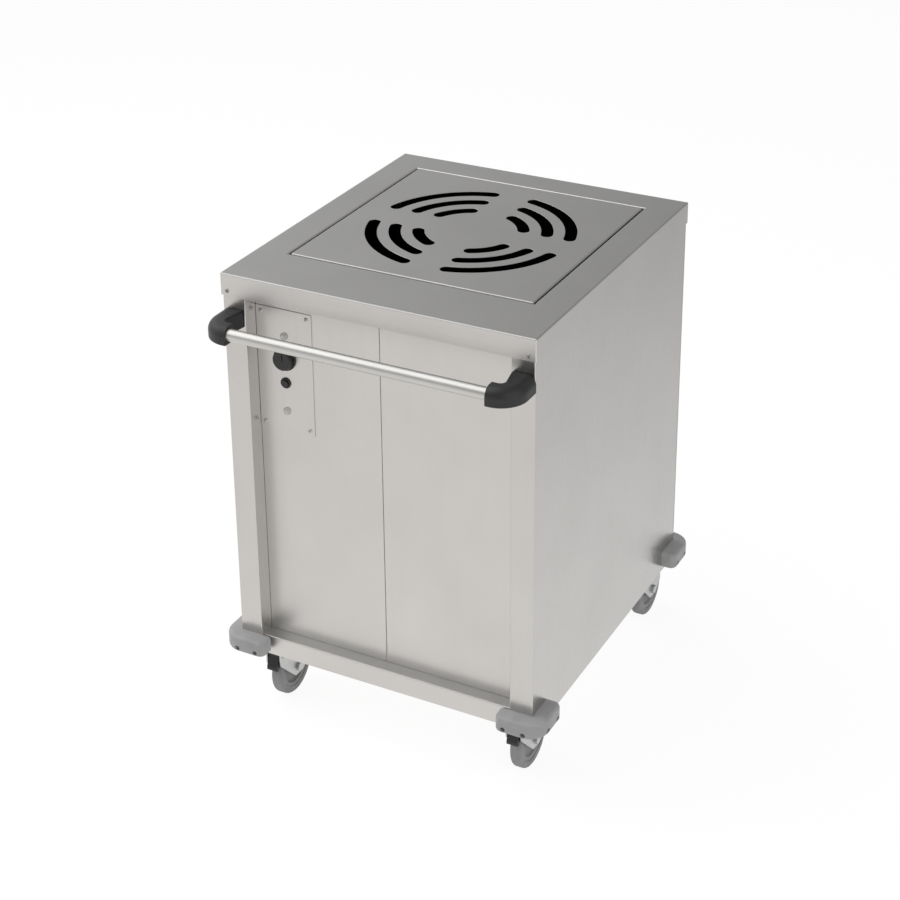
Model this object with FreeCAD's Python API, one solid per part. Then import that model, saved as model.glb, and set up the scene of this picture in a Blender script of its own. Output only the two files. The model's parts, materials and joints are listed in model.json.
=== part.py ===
"""Heated basket dispenser on casters: a sheet-metal cabinet with a spring-lifted basket platform.

Lengths are millimetres. X runs to the right, Y to the back and Z up. The origin lies on the floor,
in the middle of the footprint. The cabinet is drawn about its own middle and moved there at the end.
"""
import FreeCAD, Part
import math
import os

# Cabinet shell
cabinet_width = 674.0
cabinet_depth = 744.0
cabinet_height = 855.0
sheet = 1.5
fold_radius = 2.5
post_width = 50.0
recess_depth = 38.0
rail_height = 35.0
rail_setback = 8.0
skirt = 9.0
hidden_lip = 20.0
tray_flange = 40.0
seam_offset = -10.0
seam_gap = 0.4
seam_return = 12.0
panel_gap = 0.5

# Deck and basket shaft
deck_overhang = 3.0
apron_height = 46.0
edge_radius = 3.0
opening = 540.0
opening_offset = 34.0
opening_flange = 22.0
shaft_floor_height = 34.0

# Basket platform
platform_gap = 4.0
platform_rim = 24.0
slot_radius = 107.0
slot_pitch = 48.5
slot_rings = 3
slot_width = 25.0
slot_bridge = 68.0

# Lift: carriages on guide rods, pulled up by springs
plate_steel = 3.0
lift_travel = 480.0
carriage_arm_drop = 60.0
carriage_leg = 260.0
carriage_arm_width = 24.0
carriage_foot = 50.0
carriage_inset = 11.0
slot_play = 3.0
rod_radius = 8.0
rod_spacing = 300.0
bush_wall = 5.0
bush_length = 28.0
bush_flange = 4.0
bush_flange_thickness = 3.0
running_clearance = 0.06
hanger_drop = 25.0
hanger_length = 380.0
spring_spacing = 110.0
spring_radius = 13.0
spring_wire = 3.0
spring_end_length = 22.0
spring_nut_radius = 6.0
spring_nut_height = 5.0
spring_hole_clearance = 0.5

# Heating element
heater_radius = 4.25
heater_runs = 6
heater_run_length = 380.0
heater_pitch = 64.0
heater_rail_height = 30.0
heater_rail_width = 16.0
heater_rail_spacing = 240.0
heater_gap = 0.3

# Control plate and its devices, which stand at shares of its height below its top
control_width = 126.0
control_height = 265.0
control_top = 72.0
control_window_margin = 16.0
control_screw_inset = 11.0
upper_lamp_share = 0.217
knob_share = 0.4
button_share = 0.6
lower_lamp_share = 0.836
knob_radius = 25.0
knob_skirt = 3.0
knob_grip_radius = 22.0
knob_grip_top_radius = 20.5
knob_height = 13.5
knob_flutes = 16
knob_flute_radius = 3.0
knob_pointer_width = 3.0
knob_lift = 0.5
spindle_radius = 3.0
spindle_depth = 14.0
spindle_hole = 5.0
thermostat_side = 46.0
thermostat_depth = 32.0
bezel_radius = 11.5
bezel_height = 3.0
barrel_radius = 9.5
barrel_length = 30.0
button_radius = 7.5
button_gap = 0.3
button_proud = 3.0
button_travel = 3.0
button_head = 8.0
button_stem_radius = 2.5
button_stem_length = 12.0
button_end_play = 1.0
lamp_bezel_radius = 8.5
lamp_bezel_height = 2.0
lamp_dome_height = 4.0
lamp_barrel_radius = 6.5
lamp_barrel_length = 24.0
hole_clearance = 0.2

# Push handle
bar_radius = 12.5
bar_wall = 1.5
bar_drop = 91.0
handle_reach = 90.0
bracket_height = 37.0
bracket_leg_depth = 34.0
bracket_leg_length = 62.0
bracket_root_width = 50.0
bracket_arm_width = 39.0
bracket_corner = 55.0
bracket_inner_corner = 10.0
bracket_crown = 20.0
bracket_edge = 4.0
bar_socket = 18.0
bar_fit = 0.1

# Corner bumpers
bumper_thickness = 32.0
bumper_leg = 70.0
bumper_height = 36.0
bumper_rise = 2.0
bumper_corner = 42.0
bumper_end = 15.0
bumper_edge = 7.0
pocket_radius = 5.5
pocket_depth = 10.0
pocket_rise = 9.0
pocket_places = (7.0, 50.0)

# Casters
caster_height = 155.0
caster_inset_x = 55.0
caster_inset_y = 60.0
caster_trail = 38.0
wheel_radius = 62.5
tread_width = 25.0
tread_depth = 15.5
tread_shoulder = 6.0
rim_width = 21.0
rim_depth = 8.0
web_width = 8.0
hub_radius = 15.0
hub_end_gap = 0.3
fork_gap = 15.0
fork_sheet = 3.0
fork_front = 30.0
fork_back = 42.0
fork_rake = 21.0
fork_eye = 18.0
fork_tail = 46.0
fork_shoulder = 40.0
crown_thickness = 4.0
caster_plate_x = 100.0
caster_plate_y = 85.0
caster_plate_thickness = 4.0
caster_bolt_x = 80.0
caster_bolt_y = 60.0
race_radius = 28.0
race_height = 10.0
kingpin_radius = 6.0
kingpin_head_radius = 9.5
kingpin_head = 4.0
axle_radius = 6.0
axle_head_radius = 9.8
axle_head = 6.0

# Brake pedals on the two front casters
pedal_pivot_forward = 21.0
pedal_pivot_height = 122.0
pedal_pin_radius = 3.0
pedal_boss = 6.5
pedal_reach = 16.0
pedal_drop = 32.0
pedal_pad = 8.0
pedal_width = 25.0
pedal_shoe = 8.0
pedal_shoe_gap = 0.6

# Screws and bolts
screw_radius = 2.4
screw_head_radius = 4.6
screw_head = 2.4
screw_length = 12.0
bolt_radius = 4.0
bolt_head_radius = 7.5
bolt_head = 5.0
bolt_length = 16.0
deck_screw_inset = 12.0
deck_screw_drop = 36.0
rear_screw_rows = 3

# Cable entry in the rear panel
gland_radius = 10.0
gland_nut_radius = 14.0
gland_bore = 5.0
gland_height = 60.0
gland_inset = 80.0

# Levels and faces that the pieces share
base_z = caster_height
floor_top = base_z + sheet
deck_z = base_z + cabinet_height
under_deck = deck_z - sheet
half_w = cabinet_width / 2
half_d = cabinet_depth / 2
front_y = -half_d
back_y = half_d
panel_y = front_y + recess_depth
rail_y = front_y + rail_setback
skirt_z = base_z - skirt
fold_inside = fold_radius - sheet
post_x = half_w - post_width
rail_top = base_z + rail_height
half_opening = opening / 2
flange_bottom = deck_z - opening_flange
shaft_floor_top = floor_top + shaft_floor_height
rod_x = (half_opening + half_w) / 2
arm_z = under_deck - carriage_arm_drop
foot_z = arm_z - carriage_leg
hanger_z = deck_z - hanger_drop
control_x = -post_x + panel_gap + control_width / 2
control_front = panel_y - sheet
upper_lamp_drop = control_top + upper_lamp_share * control_height
knob_drop = control_top + knob_share * control_height
button_drop = control_top + button_share * control_height
lower_lamp_drop = control_top + lower_lamp_share * control_height
bracket_x = half_w + deck_overhang
axle_y = caster_trail
axle_z = wheel_radius
front_reach = half_d + handle_reach
back_reach = max(half_d + bumper_thickness, half_d - caster_inset_y + caster_trail + wheel_radius)
frame_y = (front_reach - back_reach) / 2

CORNERS = {"front_left": (-1, -1), "front_right": (1, -1), "rear_left": (-1, 1), "rear_right": (1, 1)}


# Drawing helpers

def vector(axis, a, b, level):
    """Point (a, b) on the plane square to an axis, at a level along it."""
    if axis == "x":
        return FreeCAD.Vector(level, a, b)
    if axis == "y":
        return FreeCAD.Vector(a, level, b)
    return FreeCAD.Vector(a, b, level)


def rounded_wire(corners):
    """Closed wire through (point, radius) corners, with a tangent arc at each rounded one."""
    stretches = []
    for i, (corner, radius) in enumerate(corners):
        back = (corners[i - 1][0] - corner).normalize()
        ahead = (corners[(i + 1) % len(corners)][0] - corner).normalize()
        if radius == 0:
            stretches.append((corner, None, corner))
            continue
        half_angle = back.getAngle(ahead) / 2
        reach = radius / math.tan(half_angle)
        inward = (back + ahead).normalize()
        middle = corner + inward * (radius / math.sin(half_angle) - radius)
        stretches.append((corner + back * reach, middle, corner + ahead * reach))
    edges = []
    for i, (start, middle, end) in enumerate(stretches):
        last = stretches[i - 1][2]
        if last.distanceToPoint(start) > 1e-6:
            edges.append(Part.LineSegment(last, start).toShape())
        if middle:
            edges.append(Part.Arc(start, middle, end).toShape())
    return Part.Wire(edges)


def upright(shape):
    """The same solid with its faces pointing outwards."""
    if shape.Volume < 0:
        shape.reverse()
    return shape


def prism(axis, outline, low, high):
    """Outline of (a, b, radius) corners drawn square to an axis and pulled from low to high."""
    wire = rounded_wire([(vector(axis, a, b, low), r) for a, b, r in outline])
    return upright(Part.Face(wire).extrude(vector(axis, 0, 0, high - low)))


def box(x0, x1, y0, y1, z0, z1):
    return Part.makeBox(x1 - x0, y1 - y0, z1 - z0, FreeCAD.Vector(x0, y0, z0))


def round_bar(axis, a, b, low, high, radius):
    return Part.makeCylinder(radius, high - low, vector(axis, a, b, low), vector(axis, 0, 0, 1))


def hexagon(axis, a, b, low, high, radius):
    """Six-sided head or nut, radius measured to its corners."""
    turns = [math.radians(60 * i) for i in range(6)]
    outline = [(a + radius * math.cos(t), b + radius * math.sin(t), 0) for t in turns]
    return prism(axis, outline, low, high)


def turned(axis, a, b, level, outline):
    """Round piece about an axis, from (along, radius, corner) points."""
    along = vector(axis, 0, 0, 1)
    outward = vector(axis, 0, 1, 0)
    centre = vector(axis, a, b, level)
    wire = rounded_wire([(centre + along * s + outward * r, c) for s, r, c in outline])
    return upright(Part.Face(wire).revolve(centre, along, 360))


def union(*shapes):
    return shapes[0].fuse(list(shapes[1:])).removeSplitter()


def rounded(shape, radius, chosen):
    """Fillet on the edges whose bounding box passes a test."""
    return shape.makeFillet(radius, [edge for edge in shape.Edges if chosen(edge.BoundBox)])


def mirrored(shape):
    """The piece on the other side of the cabinet."""
    return shape.mirror(FreeCAD.Vector(0, 0, 0), FreeCAD.Vector(1, 0, 0))


def folded(axis, path, low, high):
    """Bent sheet along a path of (a, b) points, lying to the left of the path."""
    steps = []
    for (a0, b0), (a1, b1) in zip(path, path[1:]):
        length = math.hypot(a1 - a0, b1 - b0)
        steps.append(((a1 - a0) / length, (b1 - b0) / length))
    face = [(path[0][0], path[0][1], 0)]
    back = [(path[0][0] - sheet * steps[0][1], path[0][1] + sheet * steps[0][0], 0)]
    for (a, b), (u0, v0), (u1, v1) in zip(path[1:], steps, steps[1:]):
        turn = u0 * v1 - v0 * u1
        outside, inside = fold_radius, fold_inside
        face.append((a, b, outside if turn > 0 else inside))
        mitre = sheet / (1 + u0 * u1 + v0 * v1)
        back.append((a - mitre * (v0 + v1), b + mitre * (u0 + u1), inside if turn > 0 else outside))
    (a, b), (u, v) = path[-1], steps[-1]
    face.append((a, b, 0))
    back.append((a - sheet * v, b + sheet * u, 0))
    return prism(axis, face + back[::-1], low, high)


def export(name, *solids):
    """Writes one node, moved from the cabinet's middle to the part's origin."""
    shape = solids[0] if len(solids) == 1 else Part.makeCompound(list(solids))
    shape = shape.copy()
    shape.translate(FreeCAD.Vector(0, frame_y, 0))
    shape.exportStep("parts/" + name + ".step")


# Cabinet shell

def screw(axis, a, b, face, inward):
    """Dome-headed screw on a face, its shank running inward (+1 or -1 along the axis)."""
    radius = screw_head_radius
    head = turned(axis, a, b, face, [
        (0, 0, 0), (0, radius, 0), (-inward * screw_head, radius, screw_head * 0.8),
        (-inward * screw_head, 0, 0)])
    low, high = sorted((face - inward * screw_head / 2, face + inward * screw_length))
    return union(head, round_bar(axis, a, b, low, high, screw_radius))


def screw_hole(axis, a, b, low, high):
    return round_bar(axis, a, b, low, high, screw_radius + hole_clearance)


def deck_screw_places():
    x = half_w - deck_screw_inset
    return [(sx * x, deck_z - deck_screw_drop, sy) for sx in (-1, 1) for sy in (-1, 1)]


def deck_screw_holes():
    """Holes for the four apron screws, through apron and cabinet."""
    reach = half_d + deck_overhang + screw_head
    inside = half_d - hidden_lip
    return [screw_hole("y", x, z, *sorted((sy * reach, sy * inside))) for x, z, sy in deck_screw_places()]


def top_deck():
    """Flat top with a turned-down apron all round and a flanged square opening."""
    half_x = half_w + deck_overhang
    half_y = half_d + deck_overhang
    low = deck_z - apron_height
    slab = box(-half_x, half_x, -half_y, half_y, low, deck_z)
    slab = rounded(slab, edge_radius, lambda b: b.ZMax == deck_z or b.ZLength > sheet)
    hollow = box(-half_x + sheet, half_x - sheet, -half_y + sheet, half_y - sheet, low - sheet, under_deck)
    hollow = rounded(hollow, edge_radius - sheet, lambda b: b.ZLength > sheet)
    rim = half_opening + sheet
    collar = box(-rim, rim, opening_offset - rim, opening_offset + rim, flange_bottom, under_deck)
    hole = box(-half_opening, half_opening, opening_offset - half_opening, opening_offset + half_opening,
               flange_bottom - sheet, deck_z + sheet)
    deck = slab.cut(hollow).fuse(collar).removeSplitter().cut(hole)
    deck = rounded(deck, edge_radius, lambda b: on_opening_edge(b, half_opening, deck_z))
    return deck.cut(deck_screw_holes())


def on_opening_edge(bounds, half, level):
    """True for an edge of the square opening that lies at a level."""
    inside = max(abs(bounds.XMin), abs(bounds.XMax)) < half + sheet / 2
    return inside and bounds.ZMin > level - sheet / 4 and bounds.ZMax < level + sheet / 4


def side_panel():
    """Right side: wall, front post with its return and lip, a rear flange, and a skirt past the floor."""
    path = [
        (post_x - hidden_lip, panel_y + sheet),
        (post_x, panel_y + sheet),
        (post_x, front_y),
        (half_w, front_y),
        (half_w, back_y - sheet),
        (half_w - hidden_lip - fold_radius, back_y - sheet)]
    inside = box(0, half_w - sheet, front_y + sheet, back_y, skirt_z - sheet, floor_top)
    return folded("z", path, skirt_z, under_deck).cut(inside)


def side_panel_holes():
    return deck_screw_holes() + rear_screw_holes() + handle_bolt_holes() + control_screw_holes()


def base_tray():
    """Floor sheet with the front rail, its ledge and lip, and upturned side and rear flanges."""
    inner_x = half_w - sheet
    floor = box(-inner_x, inner_x, rail_y, back_y - sheet, base_z, floor_top)
    rail = folded("x", [(panel_y + sheet, rail_top + hidden_lip), (panel_y + sheet, rail_top),
                        (rail_y, rail_top), (rail_y, skirt_z)], -post_x, post_x)
    flange_y = back_y - 2 * sheet
    flange_top = floor_top + tray_flange
    start = panel_y + hidden_lip
    stop = flange_y - hidden_lip
    right = box(inner_x - sheet, inner_x, start, stop, base_z, flange_top)
    left = box(-inner_x, sheet - inner_x, start, stop, base_z, flange_top)
    end_x = half_w - 2 * hidden_lip
    rear = box(-end_x, end_x, flange_y, flange_y + sheet, base_z, flange_top)
    tray = union(floor, rail, right, left, rear)
    holes = [round_bar("z", x, y, base_z - sheet, floor_top + sheet, bolt_radius + hole_clearance)
             for x, y in caster_bolt_places()]
    reliefs = []
    for sx in (-1, 1):
        near, far = sorted((sx * (post_x - hidden_lip - panel_gap), sx * (post_x + sheet)))
        reliefs.append(box(near, far, panel_y + sheet - fold_inside, panel_y + hidden_lip,
                           rail_top - hidden_lip, rail_top + 2 * hidden_lip))
    return tray.cut(holes + reliefs)


def front_panel_left():
    """Recessed panel left of the seam, with a window behind the control plate."""
    edge = seam_offset - seam_gap / 2
    path = [(-post_x + panel_gap, panel_y), (edge, panel_y), (edge, panel_y + seam_return)]
    panel = folded("z", path, rail_top + panel_gap, under_deck)
    half = control_width / 2 - control_window_margin
    top = deck_z - control_top - control_window_margin
    bottom = deck_z - control_top - control_height + control_window_margin
    window = box(control_x - half, control_x + half, panel_y - sheet, panel_y + 2 * sheet, bottom, top)
    return panel.cut([window, seam_notch()] + panel_bevels() + control_screw_holes())


def front_panel_right():
    """Recessed panel right of the seam."""
    edge = seam_offset + seam_gap / 2
    path = [(edge, panel_y + seam_return), (edge, panel_y), (post_x - panel_gap, panel_y)]
    panel = folded("z", path, rail_top + panel_gap, under_deck)
    return panel.cut([seam_notch()] + panel_bevels())


def panel_bevels():
    """Wedges off the back edges of both front panels, where the posts and the rail are folded round."""
    back = panel_y + sheet
    low = rail_top + panel_gap
    wedges = [prism("x", [(back - fold_inside, low, 0), (back, low, 0), (back, low + fold_inside, 0)],
                    -post_x, post_x)]
    for sx in (-1, 1):
        x = sx * (post_x - panel_gap)
        corners = [(x, back - fold_inside, 0), (x, back, 0), (x - sx * fold_inside, back, 0)]
        wedges.append(prism("z", corners, rail_top, under_deck))
    return wedges


def seam_notch():
    """Clearance at the foot of both seam returns for the base rail's lip."""
    reach = seam_gap + 2 * fold_radius
    return box(seam_offset - reach, seam_offset + reach, panel_y + sheet, panel_y + seam_return + sheet,
               rail_top, rail_top + hidden_lip + panel_gap)


def rear_screw_places():
    """Screws down both edges of the rear panel, clear of the apron."""
    x = half_w - hidden_lip / 2 - fold_radius
    low = rail_top + hidden_lip
    high = deck_z - apron_height - hidden_lip
    rise = (high - low) / (rear_screw_rows - 1)
    return [(sx * x, low + i * rise) for sx in (-1, 1) for i in range(rear_screw_rows)]


def rear_screw_holes():
    return [screw_hole("y", x, z, back_y - hidden_lip, back_y + sheet) for x, z in rear_screw_places()]


def rear_panel():
    """Flat rear closing sheet with the cable entry."""
    panel = box(-half_w, half_w, back_y - sheet, back_y, skirt_z, under_deck)
    x, z = gland_place()
    entry = round_bar("y", x, z, back_y - hidden_lip, back_y + sheet, gland_radius + hole_clearance)
    return panel.cut(rear_screw_holes() + deck_screw_holes() + [entry])


def gland_place():
    return half_w - gland_inset, rail_top + gland_height


def cable_gland():
    """Threaded bush through the rear panel, with a hexagon outside and a locknut inside."""
    x, z = gland_place()
    nut = gland_radius * 0.6
    dome = turned("y", x, z, back_y + nut, [
        (0, 0, 0), (0, gland_radius, 0), (gland_radius, gland_radius, 4.0), (gland_radius, 0, 0)])
    thread = round_bar("y", x, z, back_y - gland_radius, back_y + nut, gland_radius)
    outside = hexagon("y", x, z, back_y, back_y + nut, gland_nut_radius)
    inside = hexagon("y", x, z, back_y - sheet - nut, back_y - sheet, gland_nut_radius)
    hole = round_bar("y", x, z, back_y - 2 * gland_radius, back_y + 2 * gland_radius, gland_bore)
    return union(thread, outside, inside, dome).cut(hole)


# Basket shaft

def shaft_side_wall():
    """Right lining wall with two upright slots for the carriage arms."""
    back = opening_offset + half_opening + sheet
    front = opening_offset - half_opening - sheet
    wall = box(half_opening, half_opening + sheet, front, back, floor_top, flange_bottom)
    half = carriage_arm_width / 2 + slot_play
    low = arm_z - plate_steel - lift_travel - slot_play - half
    slots = []
    for sign in (-1, 1):
        y = opening_offset + sign * rod_spacing / 2
        slots.append(prism("x", [(y - half, low, half * 0.9), (y + half, low, half * 0.9),
                                 (y + half, arm_z + slot_play, 0), (y - half, arm_z + slot_play, 0)],
                           half_opening - sheet, half_opening + 2 * sheet))
    return wall.cut(slots)


def shaft_end_wall(sign):
    """Front (-1) or rear (+1) lining wall, between the side walls."""
    near = opening_offset + sign * half_opening
    low, high = sorted((near, near + sign * sheet))
    return box(-half_opening, half_opening, low, high, floor_top, flange_bottom)


def shaft_floor():
    """Inverted tray that closes the shaft, with two rails that carry the heating element."""
    y0 = opening_offset - half_opening
    y1 = opening_offset + half_opening
    tray = box(-half_opening, half_opening, y0, y1, floor_top, shaft_floor_top)
    hollow = box(-half_opening + sheet, half_opening - sheet, y0 + sheet, y1 - sheet,
                 floor_top - sheet, shaft_floor_top - sheet)
    rails = []
    for sign in (-1, 1):
        x = sign * heater_rail_spacing / 2
        half = heater_rail_width / 2
        path = [(x + half, shaft_floor_top), (x + half, shaft_floor_top + heater_rail_height),
                (x - half, shaft_floor_top + heater_rail_height), (x - half, shaft_floor_top)]
        rails.append(folded("y", path, y0 + 2 * hidden_lip, y1 - 2 * hidden_lip))
    return union(tray.cut(hollow), *rails)


def heater_element():
    """Tubular element bent to and fro across the shaft, lying on the two rails."""
    z = shaft_floor_top + heater_rail_height + heater_gap + heater_radius
    half = heater_run_length / 2
    first = opening_offset - heater_pitch * (heater_runs - 1) / 2
    bend = heater_pitch / 2
    edges = []
    for i in range(heater_runs):
        y = first + i * heater_pitch
        side = 1 if i % 2 == 0 else -1
        start = FreeCAD.Vector(-side * half, y, z)
        end = FreeCAD.Vector(side * half, y, z)
        edges.append(Part.LineSegment(start, end).toShape())
        if i < heater_runs - 1:
            middle = FreeCAD.Vector(side * (half + bend), y + bend, z)
            turn = FreeCAD.Vector(side * half, y + heater_pitch, z)
            edges.append(Part.Arc(end, middle, turn).toShape())
    path = Part.Wire(edges)
    tip = FreeCAD.Vector(-half, first, z)
    section = Part.Wire(Part.makeCircle(heater_radius, tip, FreeCAD.Vector(1, 0, 0)))
    return upright(path.makePipeShell([section], True, False))


# Lift

def rod_places():
    return [(sx * rod_x, opening_offset + sy * rod_spacing / 2) for sx in (-1, 1) for sy in (-1, 1)]


def spring_places():
    return [(sx * rod_x, opening_offset + sy * spring_spacing / 2) for sx in (-1, 1) for sy in (-1, 1)]


def guide_rods():
    """Four upright rods between the cabinet floor and the spring hangers."""
    return [round_bar("z", x, y, floor_top, hanger_z, rod_radius) for x, y in rod_places()]


def spring_hanger():
    """Right angle bracket under the deck: carries the rods' tops and the springs."""
    inner = half_opening + sheet
    outer = half_w - sheet - panel_gap
    y0 = opening_offset - hanger_length / 2
    y1 = opening_offset + hanger_length / 2
    shelf = box(inner, outer, y0, y1, hanger_z, hanger_z + plate_steel)
    flange = box(outer - plate_steel, outer, y0, y1, hanger_z, under_deck)
    return union(shelf, flange).cut(spring_holes(hanger_z))


def spring_holes(level):
    return [round_bar("z", x, y, level - plate_steel, level + 2 * plate_steel,
                      spring_wire / 2 + spring_hole_clearance) for x, y in spring_places() if x > 0]


def lift_springs():
    """Close-wound tension springs between hangers and carriage feet, each with a threaded end and nut."""
    top = hanger_z + plate_steel
    springs = []
    for x, y in spring_places():
        low = foot_z + spring_end_length
        high = hanger_z - spring_end_length
        wall = spring_wire
        coil = turned("z", x, y, 0, [
            (low, 0, 0), (low, spring_radius, wall), (high, spring_radius, wall), (high, 0, 0),
            (high - wall, 0, 0), (high - wall, spring_radius - wall, 0),
            (low + wall, spring_radius - wall, 0), (low + wall, 0, 0)])
        upper = round_bar("z", x, y, high - wall, top + spring_nut_height, spring_wire / 2)
        lower = round_bar("z", x, y, foot_z - plate_steel - spring_nut_height, low + wall, spring_wire / 2)
        nut = hexagon("z", x, y, top, top + spring_nut_height, spring_nut_radius)
        end = foot_z - plate_steel
        foot_nut = hexagon("z", x, y, end - spring_nut_height, end, spring_nut_radius)
        springs.append(union(coil, upper, lower, nut, foot_nut))
    return springs


def carriage():
    """Right carriage: foot under the platform, arms through the shaft wall, legs and a lower bar."""
    web_x = half_opening - platform_gap - carriage_inset
    leg_x = rod_x + rod_radius + bush_wall + bush_flange + plate_steel
    near = web_x - carriage_foot
    bush_bore = rod_radius + bush_wall
    strips = []
    for sign in (-1, 1):
        y0 = opening_offset + sign * rod_spacing / 2 - carriage_arm_width / 2
        y1 = y0 + carriage_arm_width
        foot = box(near, web_x, y0, y1, under_deck - plate_steel, under_deck)
        web = box(web_x - plate_steel, web_x, y0, y1, arm_z - plate_steel, under_deck)
        arm = box(web_x - plate_steel, leg_x, y0, y1, arm_z - plate_steel, arm_z)
        leg = box(leg_x - plate_steel, leg_x, y0, y1, foot_z - plate_steel, arm_z)
        strips += [foot, web, arm, leg]
    half = rod_spacing / 2 + carriage_arm_width
    lower = box(rod_x - bush_bore - bush_flange, leg_x, opening_offset - half, opening_offset + half,
                foot_z - plate_steel, foot_z)
    pads = [round_bar("z", x, y, arm_z - plate_steel, arm_z, bush_bore + bush_flange)
            for x, y in rod_places() if x > 0]
    frame = union(lower, *strips, *pads)
    bush_hole = bush_bore + running_clearance
    holes = [round_bar("z", x, y, foot_z - 2 * plate_steel, arm_z + plate_steel, bush_hole)
             for x, y in rod_places() if x > 0]
    return frame.cut(holes + spring_holes(foot_z - plate_steel))


def guide_bushes():
    """Flanged plastic bushes of both carriages, running on the rods."""
    outer = rod_radius + bush_wall
    bore = rod_radius + running_clearance
    bushes = []
    for x, y in rod_places():
        for level in (foot_z, arm_z):
            low = level + bush_flange_thickness - bush_length
            flange_top = level + bush_flange_thickness
            bushes.append(turned("z", x, y, 0, [
                (low, bore, 0), (low, outer, 0), (level, outer, 0), (level, outer + bush_flange, 0),
                (flange_top, outer + bush_flange, 1.0), (flange_top, bore, 0)]))
    return bushes


# Basket platform

def ring_slot(radius):
    """Arc slot in the first quadrant, round ended, clear of the cross bridges."""
    half = slot_width / 2
    start = math.asin((slot_bridge / 2 + half) / radius)
    stop = math.pi / 2 - start
    middle = math.pi / 4
    low = deck_z - 2 * sheet

    def at(r, turn):
        return FreeCAD.Vector(r * math.cos(turn), opening_offset + r * math.sin(turn), low)

    def end_cap(turn, way):
        return at(radius, turn) + FreeCAD.Vector(-math.sin(turn), math.cos(turn), 0) * (way * half)

    wire = Part.Wire([
        Part.Arc(at(radius + half, start), at(radius + half, middle), at(radius + half, stop)).toShape(),
        Part.Arc(at(radius + half, stop), end_cap(stop, 1), at(radius - half, stop)).toShape(),
        Part.Arc(at(radius - half, stop), at(radius - half, middle), at(radius - half, start)).toShape(),
        Part.Arc(at(radius - half, start), end_cap(start, -1), at(radius + half, start)).toShape()])
    return upright(Part.Face(wire).extrude(FreeCAD.Vector(0, 0, 3 * sheet)))


def platform_plate():
    """Basket platform: a flat pan with a turned-down rim and rings of warm-air slots."""
    half = half_opening - platform_gap
    low = deck_z - platform_rim
    pan = box(-half, half, opening_offset - half, opening_offset + half, low, deck_z)
    pan = rounded(pan, edge_radius, lambda b: b.ZMax == deck_z or b.ZLength > sheet)
    inner = half - sheet
    hollow = box(-inner, inner, opening_offset - inner, opening_offset + inner, low - sheet, under_deck)
    hollow = rounded(hollow, edge_radius - sheet, lambda b: b.ZLength > sheet)
    centre = FreeCAD.Vector(0, opening_offset, 0)
    slots = []
    for ring in range(slot_rings):
        slot = ring_slot(slot_radius + ring * slot_pitch)
        slots += [slot.rotated(centre, FreeCAD.Vector(0, 0, 1), 90 * quarter) for quarter in range(4)]
    return pan.cut([hollow] + slots)


# Controls

def control_screw_places():
    half_x = control_width / 2 - control_screw_inset
    half_z = control_height / 2 - control_screw_inset
    middle = deck_z - control_top - control_height / 2
    return [(control_x + sx * half_x, middle + sz * half_z) for sx in (-1, 1) for sz in (-1, 1)]


def control_screw_holes():
    """Holes through the plate, the panel behind it and the post's lip."""
    return [screw_hole("y", x, z, control_front - sheet, panel_y + 3 * sheet)
            for x, z in control_screw_places()]


def control_plate():
    """Plate that carries thermostat, switch and lamps, screwed over the window."""
    half = control_width / 2
    top = deck_z - control_top
    plate = box(control_x - half, control_x + half, control_front, panel_y, top - control_height, top)
    holes = control_screw_holes()
    for drop, radius in ((knob_drop, spindle_hole), (button_drop, barrel_radius + hole_clearance),
                         (upper_lamp_drop, lamp_barrel_radius + hole_clearance),
                         (lower_lamp_drop, lamp_barrel_radius + hole_clearance)):
        holes.append(round_bar("y", control_x, deck_z - drop, control_front - sheet, panel_y + sheet,
                               radius))
    return plate.cut(holes)


def thermostat_body():
    """Thermostat behind the plate, with a bore for the knob's spindle."""
    half = thermostat_side / 2
    z = deck_z - knob_drop
    case = prism("y", [(control_x - half, z - half, 4), (control_x + half, z - half, 4),
                       (control_x + half, z + half, 4), (control_x - half, z + half, 4)],
                 panel_y, panel_y + thermostat_depth)
    bore = round_bar("y", control_x, z, panel_y - sheet, panel_y + spindle_depth + sheet,
                     spindle_radius + running_clearance)
    return case.cut(bore)


def thermostat_knob():
    """Skirted knob with a fluted grip and a pointer ridge, on its spindle."""
    z = deck_z - knob_drop
    back = control_front - knob_lift
    front = back - knob_height
    knob = turned("y", control_x, z, 0, [
        (back, 0, 0), (back, knob_radius, 1.0), (back - knob_skirt, knob_radius, 1.0),
        (back - knob_skirt, knob_grip_radius, 0), (front, knob_grip_top_radius, 2.0), (front, 0, 0)])
    spindle = round_bar("y", control_x, z, back - knob_skirt, panel_y + spindle_depth, spindle_radius)
    flutes = []
    for i in range(knob_flutes):
        turn = math.radians(360 * (i + 0.5) / knob_flutes)
        reach = knob_grip_radius + knob_flute_radius * 0.5
        flutes.append(round_bar("y", control_x + reach * math.cos(turn), z + reach * math.sin(turn),
                                front - sheet, back - knob_skirt, knob_flute_radius))
    half = knob_pointer_width / 2
    pointer = box(control_x - half, control_x + half, front - sheet, front + sheet, z,
                  z + knob_grip_top_radius - knob_pointer_width)
    return union(knob.cut(flutes), spindle, pointer)


def switch_body():
    """Push switch: bezel and barrel with a well for the button and a guide for its stem."""
    z = deck_z - button_drop
    face = control_front - bezel_height
    bezel = turned("y", control_x, z, 0, [
        (control_front, 0, 0), (control_front, bezel_radius, 0), (face, bezel_radius, 1.5), (face, 0, 0)])
    barrel = round_bar("y", control_x, z, face + 1, control_front + barrel_length, barrel_radius)
    well_end = face - button_proud + button_head + button_travel + button_end_play
    well = round_bar("y", control_x, z, face - 1, well_end, button_radius + button_gap)
    stem_bore = button_stem_radius + running_clearance
    guide = round_bar("y", control_x, z, face, well_end + button_stem_length, stem_bore)
    return union(bezel, barrel).cut([well, guide])


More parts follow.
